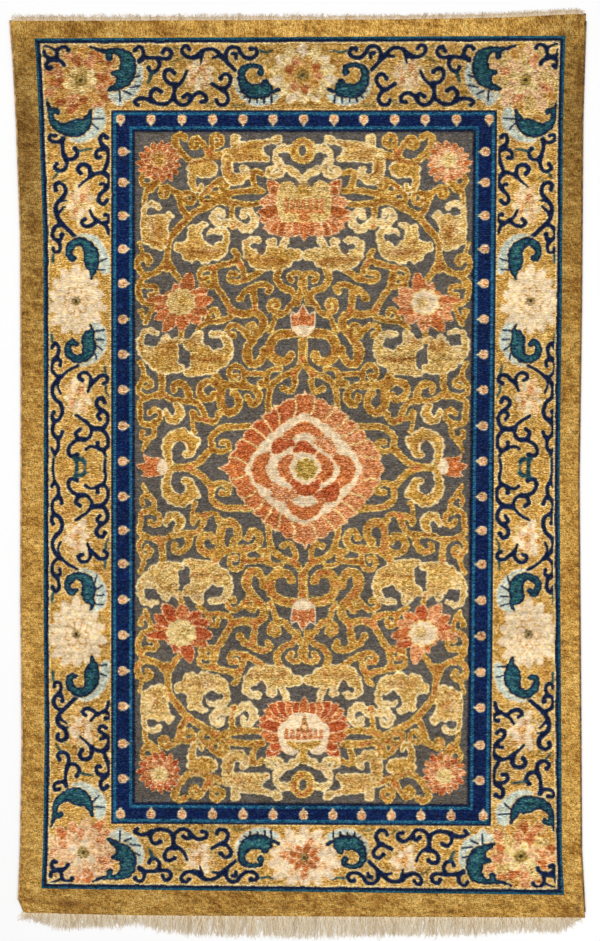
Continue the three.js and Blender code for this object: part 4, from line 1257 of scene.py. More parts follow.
def field_scrolls(chart):
    """The vines and leaves of the field, quarter by quarter, with their stains and worn places."""
    size = (ROWS.size, COLUMNS.size)
    blotches = cloud(*size, 12, 12, 21)
    blooms = cloud(*size, 7, 7, 22)
    for index, (right, lower, tint_here, share, golden) in enumerate(FIELD_TINTS):
        quarter = Quarter(right, lower, 0.6 * (-1) ** index, 0.5 * (-1) ** (index // 2))
        vines = Layer()
        for start, end, ball, route in VINES:
            vines.add(stroke(quarter.route(route), start + VINE_GAIN, end + VINE_GAIN,
                             ball and ball + VINE_GAIN / 2 + 0.3), "vine")
        column, row = quarter.at(AXIS_RING["column"], AXIS_RING["row"])
        hole = [(column, row + shift, AXIS_RING["hole"]) for shift in (-1.5, 1.5)]
        vines.add(joined([rosette(column, row, AXIS_RING["reach"])], [hole]), "gold")
        vines.depth += VINE_SCALLOP
        chart.layer(vines, "rim gold")
        leaves = Layer()
        for tint, blades, holes in LEAVES:
            patches = [blade(quarter.route(points)) for points in blades]
            gaps = [[(*quarter.at(x, y), radius + HOLE_GAIN)] for x, y, radius in holes]
            leaf = joined(patches, gaps)
            leaf.depth += LEAF_SCALLOP[leaf.window]
            chart.motif(leaf, "rim cream", tint, 1.8)
            if tint != "gold":
                leaves.add(leaf, tint)
        inner = np.clip(vines.depth - 1.2, 0, 1)
        chart.blend("gold", inner * golden)
        dark = "coral" if lower else "rust"
        chart.blend(dark, inner * np.clip(blotches + 0.15, 0, 1) * 0.75)
        chart.blend("gold", inner * np.clip(-blotches - 0.1, 0, 1) * 0.8)
        inner = np.clip(leaves.depth - 1.6, 0, 1)
        chart.blend(tint_here, inner * share)
        chart.blend(dark, inner * np.clip(blooms - 0.35, 0, 1) * 0.8)
        chart.blend("straw", inner * np.clip(-blooms - 0.4, 0, 1) * 0.8)
        worn = 0.5 if lower else 1.0
        for width, route in VEINS:
            chart.tint(stroke(quarter.route(route), width), "rust", soft=2.0, strength=0.75 * worn)
        for tint, *spot in ACCENTS:
            chart.tint(soft_spot(quarter, *spot), tint, soft=2.0, strength=0.8, within=vines.depth)
        for table, tint, strength in ((LIGHTS, "cream", 0.5), (SHADES, "rust", 0.6 * worn)):
            for spot in table:
                chart.tint(soft_spot(quarter, *spot), tint, soft=3.0, strength=strength, within=leaves.depth)


FLOWER_TINTS = (  # right, lower, the corner flower's heart and petals, the side flower's heart
    (False, False, "amber", ("coral", "coral brown", "coral"), ("coral brown", "coral"), "pale leaf"),
    (True, False, "straw", ("pink coral", "coral", "pink coral"), ("blush", "pink coral"), "cream"),
    (False, True, "straw", ("red coral", "red coral", "coral"), ("coral", "pink coral"), "straw"),
    (True, True, "straw", ("coral", "pink coral", "red coral"), ("pink coral", "coral"), "cream"),
)


def draw_chart():
    """The whole pattern: border, guard and field, then the flowers and the medallion."""
    chart = Chart()
    main_border(chart)
    guard(chart)
    chart.box(FIELD["left"], FIELD["right"], FIELD["top"], FIELD["bottom"], "ground")
    inside = np.ix_((ROWS > FIELD["top"]) & (ROWS < FIELD["bottom"]),
                    (COLUMNS > FIELD["left"]) & (COLUMNS < FIELD["right"]))
    chart.pile[inside] = FIELD_DEPTH
    field_scrolls(chart)
    for right, lower, heart_tint, outer_tints, inner_tints, side_tint in FLOWER_TINTS:
        quarter = Quarter(right, lower)
        corner_flower(chart, quarter, heart_tint, outer_tints, inner_tints)
        side_flower(chart, quarter, side_tint, outer_tints)
    for lower in (False, True):
        lotus(chart, lower)
        bud(chart, lower)
    for right in (False, True):
        side_bud(chart, right)
    medallion(chart)
    chart.unsettle()
    return chart


# Places in the world, in metres, worked out from the frame.

CENTRE = {"column": 303, "row": 468}
CORD = {"column": 9, "row": 21}
KNOTS_ACROSS = 578
cord_low, cord_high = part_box("selvedge_left")
KNOT = (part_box("selvedge_right")[1][0] - cord_low[0]) / KNOTS_ACROSS
SHIFT_X = cord_low[0] - (CORD["column"] - CENTRE["column"]) * KNOT
SHIFT_Y = cord_high[1] - (CENTRE["row"] - CORD["row"]) * KNOT
PILE_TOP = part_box("carpet")[1][2]
GROUND_TOP = 0.0030
BACKING_TOP = 0.0024
CORD_RADIUS = (0.0025, 0.0030)


def world(columns, rows):
    """World X and Y of chart places as the cloth lies, in metres."""
    return (columns - CENTRE["column"]) * KNOT + SHIFT_X, (CENTRE["row"] - rows) * KNOT + SHIFT_Y


def mesh_object(name, points, faces, face_values=None, point_values=None, skins=()):
    """A mesh from arrays, riding on the carpet, with colours for its faces or points."""
    mesh = bpy.data.meshes.new(name)
    sides = faces.shape[1]
    mesh.vertices.add(len(points))
    mesh.vertices.foreach_set("co", np.asarray(points, np.float32).ravel())
    mesh.loops.add(faces.size)
    mesh.loops.foreach_set("vertex_index", faces.astype(np.int32).ravel())
    mesh.polygons.add(len(faces))
    mesh.polygons.foreach_set("loop_start", np.arange(0, faces.size, sides, dtype=np.int32))
    mesh.update(calc_edges=True)
    mesh.polygons.foreach_set("use_smooth", np.ones(len(faces), bool))
    for domain, values in (("FACE", face_values), ("POINT", point_values)):
        for label, array in (values or {}).items():
            if array.ndim == 2:
                opaque = np.ones((len(array), 1), np.float32)
                layer = mesh.attributes.new(label, "FLOAT_COLOR", domain)
                layer.data.foreach_set("color", np.hstack([array, opaque]).astype(np.float32).ravel())
            else:
                layer = mesh.attributes.new(label, "FLOAT", domain)
                layer.data.foreach_set("value", array.astype(np.float32))
    for skin in skins:
        mesh.materials.append(skin)
    piece = bpy.data.objects.new(name, mesh)
    bpy.context.scene.collection.objects.link(piece)
    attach(piece, "root")
    return piece


def grid_faces(rows, columns):
    """Quads of a grid of rows by columns of points, facing up when rows run down."""
    corner = (np.arange(rows - 1)[:, None] * columns + np.arange(columns - 1)).ravel()
    return np.stack([corner, corner + columns, corner + columns + 1, corner + 1], 1)


MAP_MARGIN = 0.01


def flat_map(piece, low, high):
    """A map of the piece from above, over its own box, for its baked colours."""
    mesh = piece.data
    points = np.empty(len(mesh.vertices) * 3, np.float32)
    mesh.vertices.foreach_get("co", points)
    corners = np.empty(len(mesh.loops), np.int32)
    mesh.loops.foreach_get("vertex_index", corners)
    places = points.reshape(-1, 3)[:, :2]
    size = max(high[0] - low[0], high[1] - low[1])
    spots = (places - np.array(low[:2])) / size
    layer = mesh.uv_layers.new(name="OFBake")
    spots = MAP_MARGIN + (1 - 2 * MAP_MARGIN) * spots[corners]
    layer.data.foreach_set("uv", spots.astype(np.float32).ravel())


PILE_SLOPE = (-0.6, 0.9)
PILE_DROP = 0.0003
UNEVENNESS = 0.00012


def pile_height(depth):
    """Height of the pile surface at the grid's points, in metres."""
    lift = smoothstep(depth, *PILE_SLOPE)
    uneven = random.normal(0, UNEVENNESS, depth.shape)
    return GROUND_TOP + (PILE_TOP - PILE_DROP - GROUND_TOP) * lift + uneven * (0.4 + 0.6 * lift)


def woven_pieces(chart, skins):
    """Cuts the knotted ground into its pieces: four borders and the field in three."""
    raised = cell_average(np.clip(chart.pile + 0.5, 0, 1))
    knots = dyed_and_sheened(cell_average(chart.colour), raised)
    columns = np.arange(WOVEN["left"], WOVEN["right"] + 1)
    rows = np.arange(WOVEN["top"], WOVEN["bottom"] + 1)
    across, down = as_woven(columns, rows)
    x, y = world(across, down)
    z = pile_height(chart.pile[::2, ::2])
    cuts = {
        "border_top": (WOVEN["left"], WOVEN["right"], WOVEN["top"], FIELD["top"]),
        "border_bottom": (WOVEN["left"], WOVEN["right"], FIELD["bottom"], WOVEN["bottom"]),
        "border_left": (WOVEN["left"], FIELD["left"], FIELD["top"], FIELD["bottom"]),
        "border_right": (FIELD["right"], WOVEN["right"], FIELD["top"], FIELD["bottom"]),
    }
    stages = np.linspace(FIELD["top"], FIELD["bottom"], 4).astype(int)
    for name, upper, lower in zip(("upper", "middle", "lower"), stages, stages[1:]):
        cuts["field_" + name] = (FIELD["left"], FIELD["right"], upper, lower)
    pieces = []
    for name, (left, right, upper, lower) in cuts.items():
        i = slice(left - WOVEN["left"], right - WOVEN["left"] + 1)
        j = slice(upper - WOVEN["top"], lower - WOVEN["top"] + 1)
        points = np.stack([x[j, i], y[j, i], z[j, i]], -1).reshape(-1, 3)
        faces = grid_faces(lower - upper + 1, right - left + 1)
        i, j = slice(i.start, i.stop - 1), slice(j.start, j.stop - 1)
        colour = linear(knots[j, i].reshape(-1, 3))
        cover = raised[j, i].ravel()
        piece = mesh_object(name, points, faces,
                            face_values={"knot": colour, "cover": cover}, skins=skins)
        piece.data.polygons.foreach_set("material_index", (cover < 0.5).astype(np.int32))
        flat_map(piece, points.min(0), points.max(0))
        pieces.append(piece)
    return pieces


BAND_DROP = 0.0004
BAND_UNEVENNESS = 0.0001
BAND_ROUNDING = 0.0006


def edge_band(skins):
    """The plain outer band: four strips of coarser cells round the knotted borders."""
    inset = CORD_RADIUS[0] * 1.5 / KNOT
    outer_columns = (CLOTH["left"] + inset, CLOTH["right"] - inset)
    columns = np.unique(np.concatenate([
        np.linspace(outer_columns[0], WOVEN["left"], 12),
        np.arange(WOVEN["left"], WOVEN["right"] + 1, 2),
        np.linspace(WOVEN["right"], outer_columns[1], 11)]))
    rows = np.unique(np.concatenate([
        np.linspace(CLOTH["top"], WOVEN["top"], 11),
        np.arange(WOVEN["top"], WOVEN["bottom"] + 1, 2),
        np.linspace(WOVEN["bottom"], CLOTH["bottom"], 13)]))
    across, down = as_woven(columns, rows)
    x, y = world(across, down)
    height = np.full(x.shape, PILE_TOP - BAND_DROP) + random.normal(0, BAND_UNEVENNESS, x.shape)
    height[[0, -1], :] = height[:, [0, -1]] = BACKING_TOP
    height[[1, -2], 1:-1] -= BAND_ROUNDING
    height[1:-1, [1, -2]] -= BAND_ROUNDING
    colour = linear(edge_colours(columns, rows))
    faces = grid_faces(rows.size, columns.size)
    middle_column = (columns[:-1] + columns[1:]) / 2
    middle_row = (rows[:-1] + rows[1:]) / 2
    inside = ((middle_row > WOVEN["top"]) & (middle_row < WOVEN["bottom"]))[:, None] \
        & ((middle_column > WOVEN["left"]) & (middle_column < WOVEN["right"]))[None, :]
    faces = faces[~inside.ravel()]
    used, faces = np.unique(faces, return_inverse=True)
    faces = faces.reshape(-1, 4)
    points = np.stack([x, y, height], -1).reshape(-1, 3)[used]
    upright = np.repeat((rows < WOVEN["top"]).astype(float), columns.size)
    values = {"knot": colour.reshape(-1, 3)[used], "upright": upright[used]}
    piece = mesh_object("edge_band", points, faces, point_values=values, skins=skins)
    flat_map(piece, points.min(0), points.max(0))
    return piece


EDGE_MARKS = (  # column, row, half width, half height, strength
    (30, 110, 5, 14, 0.5), (29, 165, 6, 20, 0.55), (31, 215, 5, 15, 0.4), (577, 85, 2.5, 26, 0.7),
    (415, 25, 5, 3, 0.5), (482, 23, 6, 3, 0.5), (545, 22, 5, 4, 0.5), (575, 22, 4, 4, 0.5),
    (70, 905, 16, 3.5, 0.9), (100, 894, 6, 3, 0.5), (55, 896, 3, 2, 0.6), (30, 903, 9, 2, 0.5),
    (195, 902, 6, 2, 0.5), (283, 907, 20, 2, 0.4), (454, 909, 3.5, 2, 0.9), (535, 907, 4, 2.5, 0.6),
    (576.5, 896, 2.2, 4, 0.95), (574, 907, 3, 4, 0.95),
)
BAND_TINTS = ((186, 141, 66), (112, 68, 20), (216, 176, 100), (84, 48, 16))  # base, dark, pale, stain
BAND_CLOUDS = ((9, 9, 5, 0.4), (1.5, 4, 6, 0.5))
# Brightness along each side and end of the plain band, by row or column: partly uneven dye, partly painted
# shade and sheen of folds and of the pile's lie.
LEFT_DYE_AND_SHADE = ((19, 60, 120, 260, 400, 560, 900), (0.96, 0.82, 0.76, 0.84, 0.97, 1.0, 0.95))
RIGHT_DYE_AND_SHADE = ((19, 60, 120, 250, 400, 600, 800, 900), (0.9, 0.78, 0.74, 0.88, 0.95, 1.03, 1.02, 0.97))
TOP_DYE_AND_SHADE = ((18, 120, 320, 500, 580), (0.9, 0.98, 1.06, 1.04, 0.86))
BOTTOM_DYE_AND_SHADE = ((18, 120, 300, 450, 580), (0.94, 0.9, 0.95, 0.94, 0.98))


def edge_colours(columns, rows):
    """Display colours of the plain band: worn gold brown with streaks and old marks, with painted shade of
    folds and of the pile's lie along its sides and ends.
    """
    base, dark, pale, stain = np.array(BAND_TINTS) / 255
    size = (rows.size, columns.size)
    left, right = drift(LEFT_DYE_AND_SHADE, rows)[:, None], drift(RIGHT_DYE_AND_SHADE, rows)[:, None]
    top, bottom = drift(TOP_DYE_AND_SHADE, columns)[None, :], drift(BOTTOM_DYE_AND_SHADE, columns)[None, :]
    from_left = smoothstep(columns, WOVEN["left"] - 8, WOVEN["left"] + 14)[None, :]
    from_right = 1 - smoothstep(columns, WOVEN["right"] - 14, WOVEN["right"] + 8)[None, :]
    ends = np.where(rows[:, None] < AXIS["row"], top, bottom)
    sides = np.where(columns[None, :] < AXIS["column"], left, right)
    inner = np.minimum(from_left, from_right)
    tone = clouds(size, BAND_CLOUDS) + random.normal(0, 0.3, size)
    near_top = (1 - smoothstep(rows, WOVEN["top"] - 2, WOVEN["top"] + 2))[:, None]
    tone += near_top * np.repeat(cloud(1, columns.size, 1, 1.2, 8), rows.size, axis=0) * 0.45
    colour = base + (pale - base) * np.clip(tone, 0, 1)[..., None]
    colour = colour + (dark - colour) * (np.clip(-tone, 0, 1) * 0.75)[..., None]
    # Painted shade with uneven dye: the brightness of the sides and ends scales the band's colour.
    colour = colour * (sides * (1 - inner) + ends * inner)[..., None]
    for column, row, wide, high, strength in EDGE_MARKS:
        far = ((columns[None, :] - column) / wide) ** 2 + ((rows[:, None] - row) / high) ** 2
        share = np.exp(-far) * strength * (0.7 + 0.3 * cloud(*size, 2, 2, 7))
        colour = colour + (stain - colour) * share[..., None]
    return colour


# Fringes, side cords and foundation.

YARN_SIDES, CORD_SIDES = 3, 6
YARN_TIP = 0.4


def tubes(paths, radii, sides, tip=YARN_TIP):
    """Joined thin tubes: paths is (yarns, steps, 3), and radii is one for each yarn."""
    yarns, steps, _ = paths.shape
    angles = np.arange(sides) / sides * 2 * math.pi + 0.5
    along = np.gradient(paths, axis=1)
    along /= np.linalg.norm(along, axis=2, keepdims=True)
    side = np.cross(along, (0, 0, 1.0))
    side /= np.linalg.norm(side, axis=2, keepdims=True)
    above = np.cross(side, along)
    taper = np.linspace(1, tip, steps)[None, :, None, None] * radii[:, None, None, None]
    ring = side[:, :, None] * np.cos(angles)[:, None] + above[:, :, None] * np.sin(angles)[:, None]
    points = (paths[:, :, None] + ring * taper).reshape(-1, 3)
    yarn = np.arange(yarns)[:, None, None] * steps * sides
    step = np.arange(steps - 1)[None, :, None] * sides
    turn_by = np.arange(sides)[None, None, :]
    here, following = yarn + step + turn_by, yarn + step + (turn_by + 1) % sides
    faces = np.stack([here, following, following + sides, here + sides], -1).reshape(-1, 4)
    return points, faces


BOTTOM_ENDS = ((35, 60, 85, 110, 135, 160, 185, 210, 310, 385, 430, 485, 510, 535, 560, 585),
               (919, 929, 927, 928, 923, 930, 934, 935, 937, 935, 935, 934, 931, 932, 931, 919))
WEB_STEPS = 5
WEB_FOOT = 0.0006
LEAST_GAP = 0.0002


def web(columns, upper, lower, high):
    """A thin strip of the last wefts, from the upper to the lower row at each column."""
    share = np.linspace(0, 1, WEB_STEPS)[:, None]
    rows = upper + (lower - upper) * share
    x, y = world(np.broadcast_to(columns, rows.shape), rows)
    height = high - (high - WEB_FOOT) * share ** 2 + random.normal(0, UNEVENNESS, rows.shape)
    above = np.stack([x, y, height], -1).reshape(-1, 3)
    below = np.stack([x, y, np.full(rows.shape, WEB_FOOT * 0.3)], -1).reshape(-1, 3)
    faces = grid_faces(WEB_STEPS, columns.size)
    if upper[0] > lower[0]:
        faces = faces[:, ::-1]
    return np.vstack([above, below]), np.vstack([faces, faces[:, ::-1] + len(above)])


SWAY = 1.8


def fringe(name, node, skin, roots, ends, lean, radii, steps, height, strip):
    """Yarns from their roots to their ends, over a strip of web, as one piece."""
    count = roots.shape[1]
    share = np.linspace(0, 1, steps)[None, :]
    sway = random.normal(0, SWAY, (count, 1)) * np.sin(share * 3.1 * random.uniform(0.7, 2, (count, 1)))
    columns = roots[0][:, None] + lean[:, None] * share ** 1.3 + sway
    rows = roots[1][:, None] + (ends - roots[1])[:, None] * share
    x, y = world(columns, rows)
    lift = height[0] + random.uniform(0, height[1], (count, 1)) * np.sin(share * 2.8)
    z = np.maximum(lift * (1 - 0.45 * share), radii[:, None] + LEAST_GAP)
    points, faces = tubes(np.stack([x, y, z], -1), radii, YARN_SIDES)
    lock_tone = 0.62 + 0.3 * cloud(1, count, 1, 5, 63)[0]
    tone = np.repeat(np.clip(lock_tone + random.normal(0, 0.35, count), 0, 1), steps * YARN_SIDES)
    strip_points, strip_faces = strip
    tone = np.concatenate([tone, random.uniform(0.1, 0.8, len(strip_points))])
    faces = np.vstack([faces, strip_faces + len(points)])
    piece = mesh_object(name, np.vstack([points, strip_points]), faces,
                        point_values={"tone": tone}, skins=[skin])
    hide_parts(node)
    return piece


BOTTOM_YARNS, TOP_YARNS = 2300, 1000
LOCKS, LOCK_WIDTH = 100, 6.0
WEB_SPACING = 2.0


def bottom_fringe(skin):
    """Worn warp ends below the bottom web, in loose tangled locks."""
    count = BOTTOM_YARNS
    start = np.sort(random.uniform(CLOTH["left"] + 4, CLOTH["right"] - 2, count))
    root_row = CLOTH["bottom"] - 0.5 + drift(BOTTOM_DRIFT, start)
    ends = drift(BOTTOM_ENDS, start) + random.normal(0, 1.7, count)
    ends = np.maximum(ends, root_row + 3)
    lock = np.floor(start / LOCK_WIDTH).astype(int) % LOCKS
    lean = random.normal(0, 0.5, LOCKS)[lock] + random.normal(0, 2.8, count) - 2.0 * (start < 60)
    columns = np.arange(CLOTH["left"] + 3, CLOTH["right"] - 1, WEB_SPACING)
    upper = CLOTH["bottom"] - 1.5 + drift(BOTTOM_DRIFT, columns)
    lower = upper + 5.0 + cloud(1, columns.size, 1, 4, 61)[0] * 1.6
    strip = web(columns, upper, lower, 0.0026)
    return fringe("fringe_bottom_yarns", "fringe_bottom", skin, np.stack([start, root_row]), ends, lean,
                  random.uniform(0.0006, 0.0011, count), 4, (0.0024, 0.0016), strip)


def top_fringe(skin):
    """The short fuzzy ends above the top web."""
    count = TOP_YARNS
    start = np.sort(random.uniform(CLOTH["left"] - 5, CLOTH["right"] + 2, count))
    root_row = CLOTH["top"] + 1.2 + drift(TOP_DRIFT, start)
    length = random.uniform(4.0, 7.0, count) + 1.5 * (start < 330) * random.uniform(0, 1, count)
    columns = np.arange(CLOTH["left"] - 4, CLOTH["right"] + 2, WEB_SPACING)
    lower = CLOTH["top"] + 1.6 + drift(TOP_DRIFT, columns)
    upper = lower - 4.6 - cloud(1, columns.size, 1, 4, 62)[0] * 0.9
    strip = web(columns, lower, upper, 0.0034)
    return fringe("fringe_top_yarns", "fringe_top", skin, np.stack([start, root_row]), root_row - length,
                  random.normal(0, 1.4, count), random.uniform(0.0007, 0.0011, count), 3,
                  (0.0032, 0.001), strip)


WRAP_SPACING = 3.0
WRAP_WAIST = 0.86


def side_cord(name, node, column, table, skin, inward, foot):
    """A cord wrapped with yarn, following the cloth's side."""
    rows = np.arange(CLOTH["top"] + 2, CLOTH["bottom"] - foot, WRAP_SPACING)
    offset = inward * CORD_RADIUS[0] / KNOT
    x, y = world(column + drift(table, rows) + offset, rows)
    wrap = np.where(np.arange(rows.size) % 2, 1.0, WRAP_WAIST)
    paths = np.stack([x, y, np.full(rows.size, CORD_RADIUS[1])], -1)[None]
    points, faces = tubes(paths, np.array([1.0]), CORD_SIDES, tip=1.0)
    centre = np.repeat(paths[0], CORD_SIDES, axis=0)
    radii = np.array((CORD_RADIUS[0], CORD_RADIUS[0], CORD_RADIUS[1]))
    points = centre + (points - centre) * (np.repeat(wrap, CORD_SIDES)[:, None] * radii)
    tone = np.repeat(random.uniform(0, 1, rows.size), CORD_SIDES)
    piece = mesh_object(name, points, faces, point_values={"tone": tone}, skins=[skin])
    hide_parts(node)
    return piece


BACKING_INSET = 0.9
BACKING_GRID = (24, 36)
BACKING_FOOT = 0.0001


def backing(skin):
    """The closed foundation that carries the pile, with the plain weave of its back."""
    columns = np.linspace(CLOTH["left"] + BACKING_INSET, CLOTH["right"] - BACKING_INSET, BACKING_GRID[0])
    rows = np.linspace(CLOTH["top"], CLOTH["bottom"], BACKING_GRID[1])
    across, down = as_woven(columns, rows)
    x, y = world(across, down)
    sheets = [np.stack([x, y, np.full(x.shape, z)], -1).reshape(-1, 3)
              for z in (BACKING_TOP, BACKING_FOOT)]
    faces = grid_faces(rows.size, columns.size)
    below = faces[:, ::-1] + x.size
    index = np.arange(x.size).reshape(x.shape)
    rim = np.concatenate([index[0, :-1], index[:-1, -1], index[-1, :0:-1], index[:0:-1, 0]])
    following = np.roll(rim, -1)
    walls = np.stack([rim, following, following + x.size, rim + x.size], 1)
    return mesh_object("foundation", np.vstack(sheets), np.vstack([faces, below, walls]),
                       skins=[skin])


# Skins: the procedural materials.

WEAVE_SCALE = 120.0


class Skin:
    """A procedural material, built node by node."""

    def __init__(self, name, roughness=0.8, **sockets):
        self.material = bpy.data.materials.new(name)
        self.material.use_nodes = True
        self.tree = self.material.node_tree
        self.shader = self.tree.nodes["Principled BSDF"]
        self.shader.inputs["Roughness"].default_value = roughness
        for socket, value in sockets.items():
            self.shader.inputs[socket.replace("_", " ")].default_value = value
        self.place = self.node("ShaderNodeTexCoord").outputs["Object"]

    def node(self, kind, inputs=None, **settings):
        """A new node with its inputs linked or set."""
        node = self.tree.nodes.new(kind)
        for setting, value in settings.items():
            setattr(node, setting, value)
        for key, value in (inputs or {}).items():
            if hasattr(value, "is_output"):
                self.tree.links.new(value, node.inputs[key])
            else:
                node.inputs[key].default_value = value
        return node

    def link(self, output, socket):
        """Feeds a socket of the shader."""
        self.tree.links.new(output, self.shader.inputs[socket])

    def stretched(self, scale):
        """Places on the object, scaled along each axis."""
        return self.node("ShaderNodeMapping", {"Vector": self.place, "Scale": scale}).outputs[0]

    def noise(self, scale, detail=2.0, stretch=(1, 1, 1)):
        """Soft noise between 0 and 1."""
        inputs = {"Vector": self.stretched(stretch), "Scale": scale, "Detail": detail}
        return self.node("ShaderNodeTexNoise", inputs).outputs["Fac"]

    def waves(self, direction, distortion, detail):
        """The threads of a weave, side by side along one axis."""
        inputs = {"Vector": self.place, "Scale": WEAVE_SCALE, "Distortion": distortion, "Detail": detail}
        return self.node("ShaderNodeTexWave", inputs, bands_direction=direction).outputs["Fac"]

    def cells(self, wide, high):
        """A chance value for each block of knots of the given size."""
        place = self.stretched((1 / KNOT / wide, 1 / KNOT / high, 0))
        cell = self.node("ShaderNodeVectorMath", {0: place}, operation="FLOOR").outputs[0]
        return self.node("ShaderNodeTexWhiteNoise", {"Vector": cell}).outputs["Value"]

    def ramp(self, value, *stops):
        """A colour for a value, between stops of (place, display colour)."""
        node = self.node("ShaderNodeValToRGB", {"Fac": value})
        points = node.color_ramp.elements
        while len(points) < len(stops):
            points.new(0.5)
        for point, (place, colour) in zip(points, stops):
            point.position = place
            point.color = (*linear(np.array(colour) / 255), 1.0)
        return node.outputs["Color"]

    def between(self, value, low, high):
        """The value, spread from 0 and 1 to low and high."""
        inputs = {"Value": value, "To Min": low, "To Max": high}
        return self.node("ShaderNodeMapRange", inputs).outputs["Result"]

    def mix(self, one, other, factor, blend="MIX"):
        """Two colours mixed by a factor."""
        inputs = {"Factor": factor, 6: one, 7: other}
        return self.node("ShaderNodeMix", inputs, data_type="RGBA", blend_type=blend).outputs[2]

    def maths(self, operation, one, other):
        """A sum, a product or the like of two values."""
        return self.node("ShaderNodeMath", {0: one, 1: other}, operation=operation).outputs[0]

    def shade(self, colour, factor):
        """The colour made darker or lighter by a factor."""
        return self.mix(colour, self.node("ShaderNodeCombineColor", {
            "Red": factor, "Green": factor, "Blue": factor}).outputs[0], 1.0, "MULTIPLY")

    def bump(self, height, distance, strength):
        """Fine relief in the shading, from a height between 0 and 1."""
        inputs = {"Height": height, "Distance": distance, "Strength": strength}
        self.link(self.node("ShaderNodeBump", inputs).outputs["Normal"], "Normal")

    def attribute(self, name, output="Color"):
        """A value or a colour stored on the mesh."""
        return self.node("ShaderNodeAttribute", attribute_name=name).outputs[output]


SILK = {"Sheen_Weight": 0.04, "Sheen_Roughness": 0.4, "Specular_IOR_Level": 0.08}
TIP_STRETCH = (1.0, 0.7, 1.0)
TIP_TONES = (0.72, 1.28)
SILK_ROUGHNESS = (0.65, 0.9)
BAND_SPECKLE = (0.32, 1.72)


def cut_pile(skin, colour):
    """Gives a skin the colour with cut tips in many tones, and the silk's soft lustre."""
    tips = skin.noise(900, 2.0, TIP_STRETCH)
    skin.link(skin.shade(colour, skin.between(tips, *TIP_TONES)), "Base Color")
    skin.link(skin.between(skin.noise(300), *SILK_ROUGHNESS), "Roughness")
    skin.bump(tips, 0.0006, 0.6)
    return skin.material


def silk_skin():
    """Knotted silk pile."""
    skin = Skin("silk_pile", **SILK)
    return cut_pile(skin, skin.attribute("knot"))


def band_skin():
    """The plain band's pile: as the silk, with its speckle knot by knot."""
    skin = Skin("band_pile", **SILK)
    ribs, strands = skin.cells(4.0, 1.0), skin.cells(1.0, 3.0)
    run = skin.mix(ribs, strands, skin.attribute("upright", "Fac"))
    speckle = skin.mix(skin.cells(1.0, 1.0), run, 0.4)
    return cut_pile(skin, skin.shade(skin.attribute("knot"), skin.between(speckle, *BAND_SPECKLE)))


def metal_skin():
    """The sunken ground: metal thread laid over the wefts, tarnished grey."""
    skin = Skin("metal_ground", Metallic=0.25, Specular_IOR_Level=0.25)
    thread = skin.noise(700, 2.0, (0.15, 1.0, 1.0))
    colour = skin.shade(skin.attribute("knot"), skin.between(thread, 0.7, 1.35))
    skin.link(colour, "Base Color")
    skin.link(skin.between(thread, 0.4, 0.65), "Roughness")
    skin.bump(thread, 0.0004, 0.7)
    return skin.material


def yarn_skin(name, light, dark):
    """Spun yarn in a few tones."""
    skin = Skin(name, Sheen_Weight=0.2)
    fibre = skin.noise(1500, 2.0)
    colour = skin.ramp(skin.attribute("tone", "Fac"), (0.0, dark), (1.0, light))
    skin.link(skin.shade(colour, skin.between(fibre, 0.75, 1.2)), "Base Color")
    skin.bump(fibre, 0.0003, 0.5)
    return skin.material


def backing_skin():
    """The back: fine ribs of weft over cotton warps."""
    skin = Skin("backing_weave")
    ribs, warps = (skin.waves(direction, distortion, detail)
                   for direction, distortion, detail in (("Y", 1.5, 1.0), ("X", 1.0, 2.0)))
    weave = skin.maths("MULTIPLY", ribs, warps)
    colour = skin.ramp(weave, (0.0, (110, 84, 52)), (1.0, (176, 142, 96)))
    skin.link(skin.shade(colour, skin.between(skin.noise(12, 3.0), 0.8, 1.15)), "Base Color")
    skin.bump(weave, 0.0006, 0.8)
    return skin.material


# Floor, light and camera.

FLOOR_HALF = 4.0
FLOOR_TONE = 0.97
FLOOR_ROUGHNESS = 0.9


def floor():
    """A plain pale floor under the carpet."""
    half = FLOOR_HALF
    points = [(-half, -half, 0), (half, -half, 0), (half, half, 0), (-half, half, 0)]
    mesh = bpy.data.meshes.new("floor")
    mesh.from_pydata(points, [], [(0, 1, 2, 3)])
    ground = bpy.data.objects.new("floor", mesh)
    bpy.context.scene.collection.objects.link(ground)
    material = bpy.data.materials.new("floor_paint")
    material.use_nodes = True
    paint = material.node_tree.nodes["Principled BSDF"].inputs
    paint["Base Color"].default_value = (FLOOR_TONE, FLOOR_TONE, FLOOR_TONE, 1)
    paint["Roughness"].default_value = FLOOR_ROUGHNESS
    mesh.materials.append(material)


AMBIENT = 0.55
LAMPS = (  # name, place, size, power
    ("key", (-1.6, 1.8, 7.0), 3.0, 190), ("fill", (2.5, -1.5, 4.0), 3.5, 62),
)


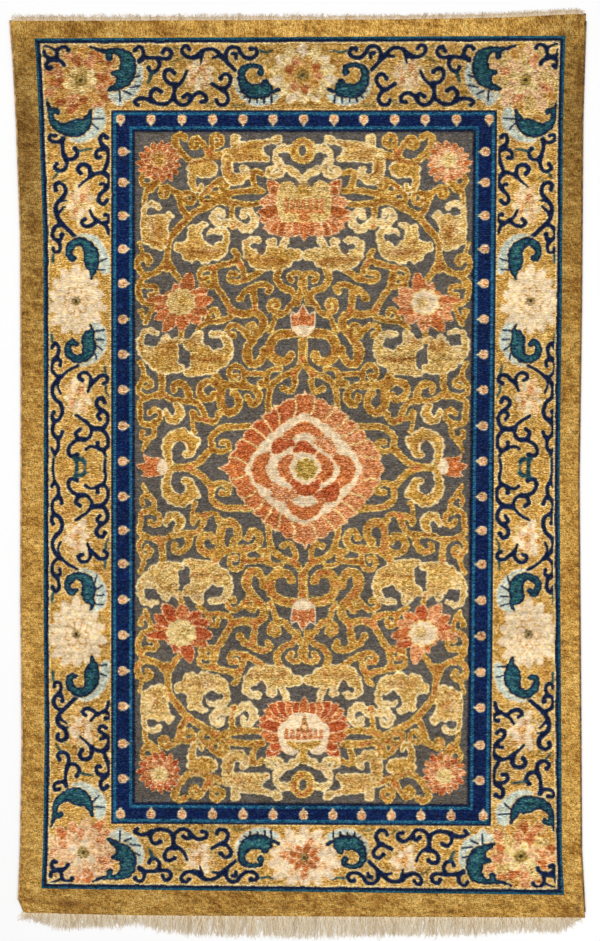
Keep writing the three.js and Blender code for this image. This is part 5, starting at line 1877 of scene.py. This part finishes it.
def studio():
    """Soft light from above, stronger from the upper left."""
    surroundings = bpy.data.worlds.new("studio")
    surroundings.use_nodes = True
    background = surroundings.node_tree.nodes["Background"].inputs
    background["Color"].default_value = (1, 1, 1, 1)
    background["Strength"].default_value = AMBIENT
    bpy.context.scene.world = surroundings
    bpy.context.scene.view_settings.view_transform = "Standard"
    for name, place, size, power in LAMPS:
        lamp = bpy.data.lights.new(name, "AREA")
        lamp.size, lamp.energy = size, power
        holder = bpy.data.objects.new(name, lamp)
        holder.location = place
        holder.rotation_euler = (-Vector(place)).to_track_quat("-Z", "Y").to_euler()
        bpy.context.scene.collection.objects.link(holder)


PHOTO = {"width": 600, "height": 941}
CAMERA_HEIGHT = 14.0
SENSOR = 36.0


def camera():
    """Straight above, from far away, framed as the photograph is."""
    x, y = world(PHOTO["width"] / 2, PHOTO["height"] / 2)
    lens = bpy.data.cameras.new("camera")
    lens.sensor_fit = "VERTICAL"
    lens.sensor_height = SENSOR
    lens.lens = SENSOR * (CAMERA_HEIGHT - PILE_TOP) / (PHOTO["height"] * KNOT)
    lens.clip_end = 100.0
    eye = bpy.data.objects.new("camera", lens)
    eye.location = (x, y, CAMERA_HEIGHT)
    bpy.context.scene.collection.objects.link(eye)
    bpy.context.scene.camera = eye


# The carpet, built in the order of its random draws.

random = np.random.default_rng(11)
chart = draw_chart()
silk, band, metal = silk_skin(), band_skin(), metal_skin()
woven = woven_pieces(chart, [silk, metal])
edge = edge_band([band])
lower_yarns = bottom_fringe(yarn_skin("fringe_yarn", (255, 240, 210), (200, 166, 116)))
upper_yarns = top_fringe(yarn_skin("worn_yarn", (250, 234, 208), (196, 160, 110)))
left_cord = side_cord("side_cord_left", "selvedge_left", CLOTH["left"], LEFT_DRIFT,
                      yarn_skin("tan_cord", (216, 180, 122), (150, 108, 60)), 1, 14)
# Painted shade: the right cord is built as the left one, and its dark olive brown stands for the shadow the
# right side lies in.
right_cord = side_cord("side_cord_right", "selvedge_right", CLOTH["right"], RIGHT_DRIFT,
                       yarn_skin("cord_in_painted_shade", (150, 112, 52), (74, 50, 22)), -1, 2)
foundation = backing(backing_skin())
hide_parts("carpet")
floor()
studio()
camera()
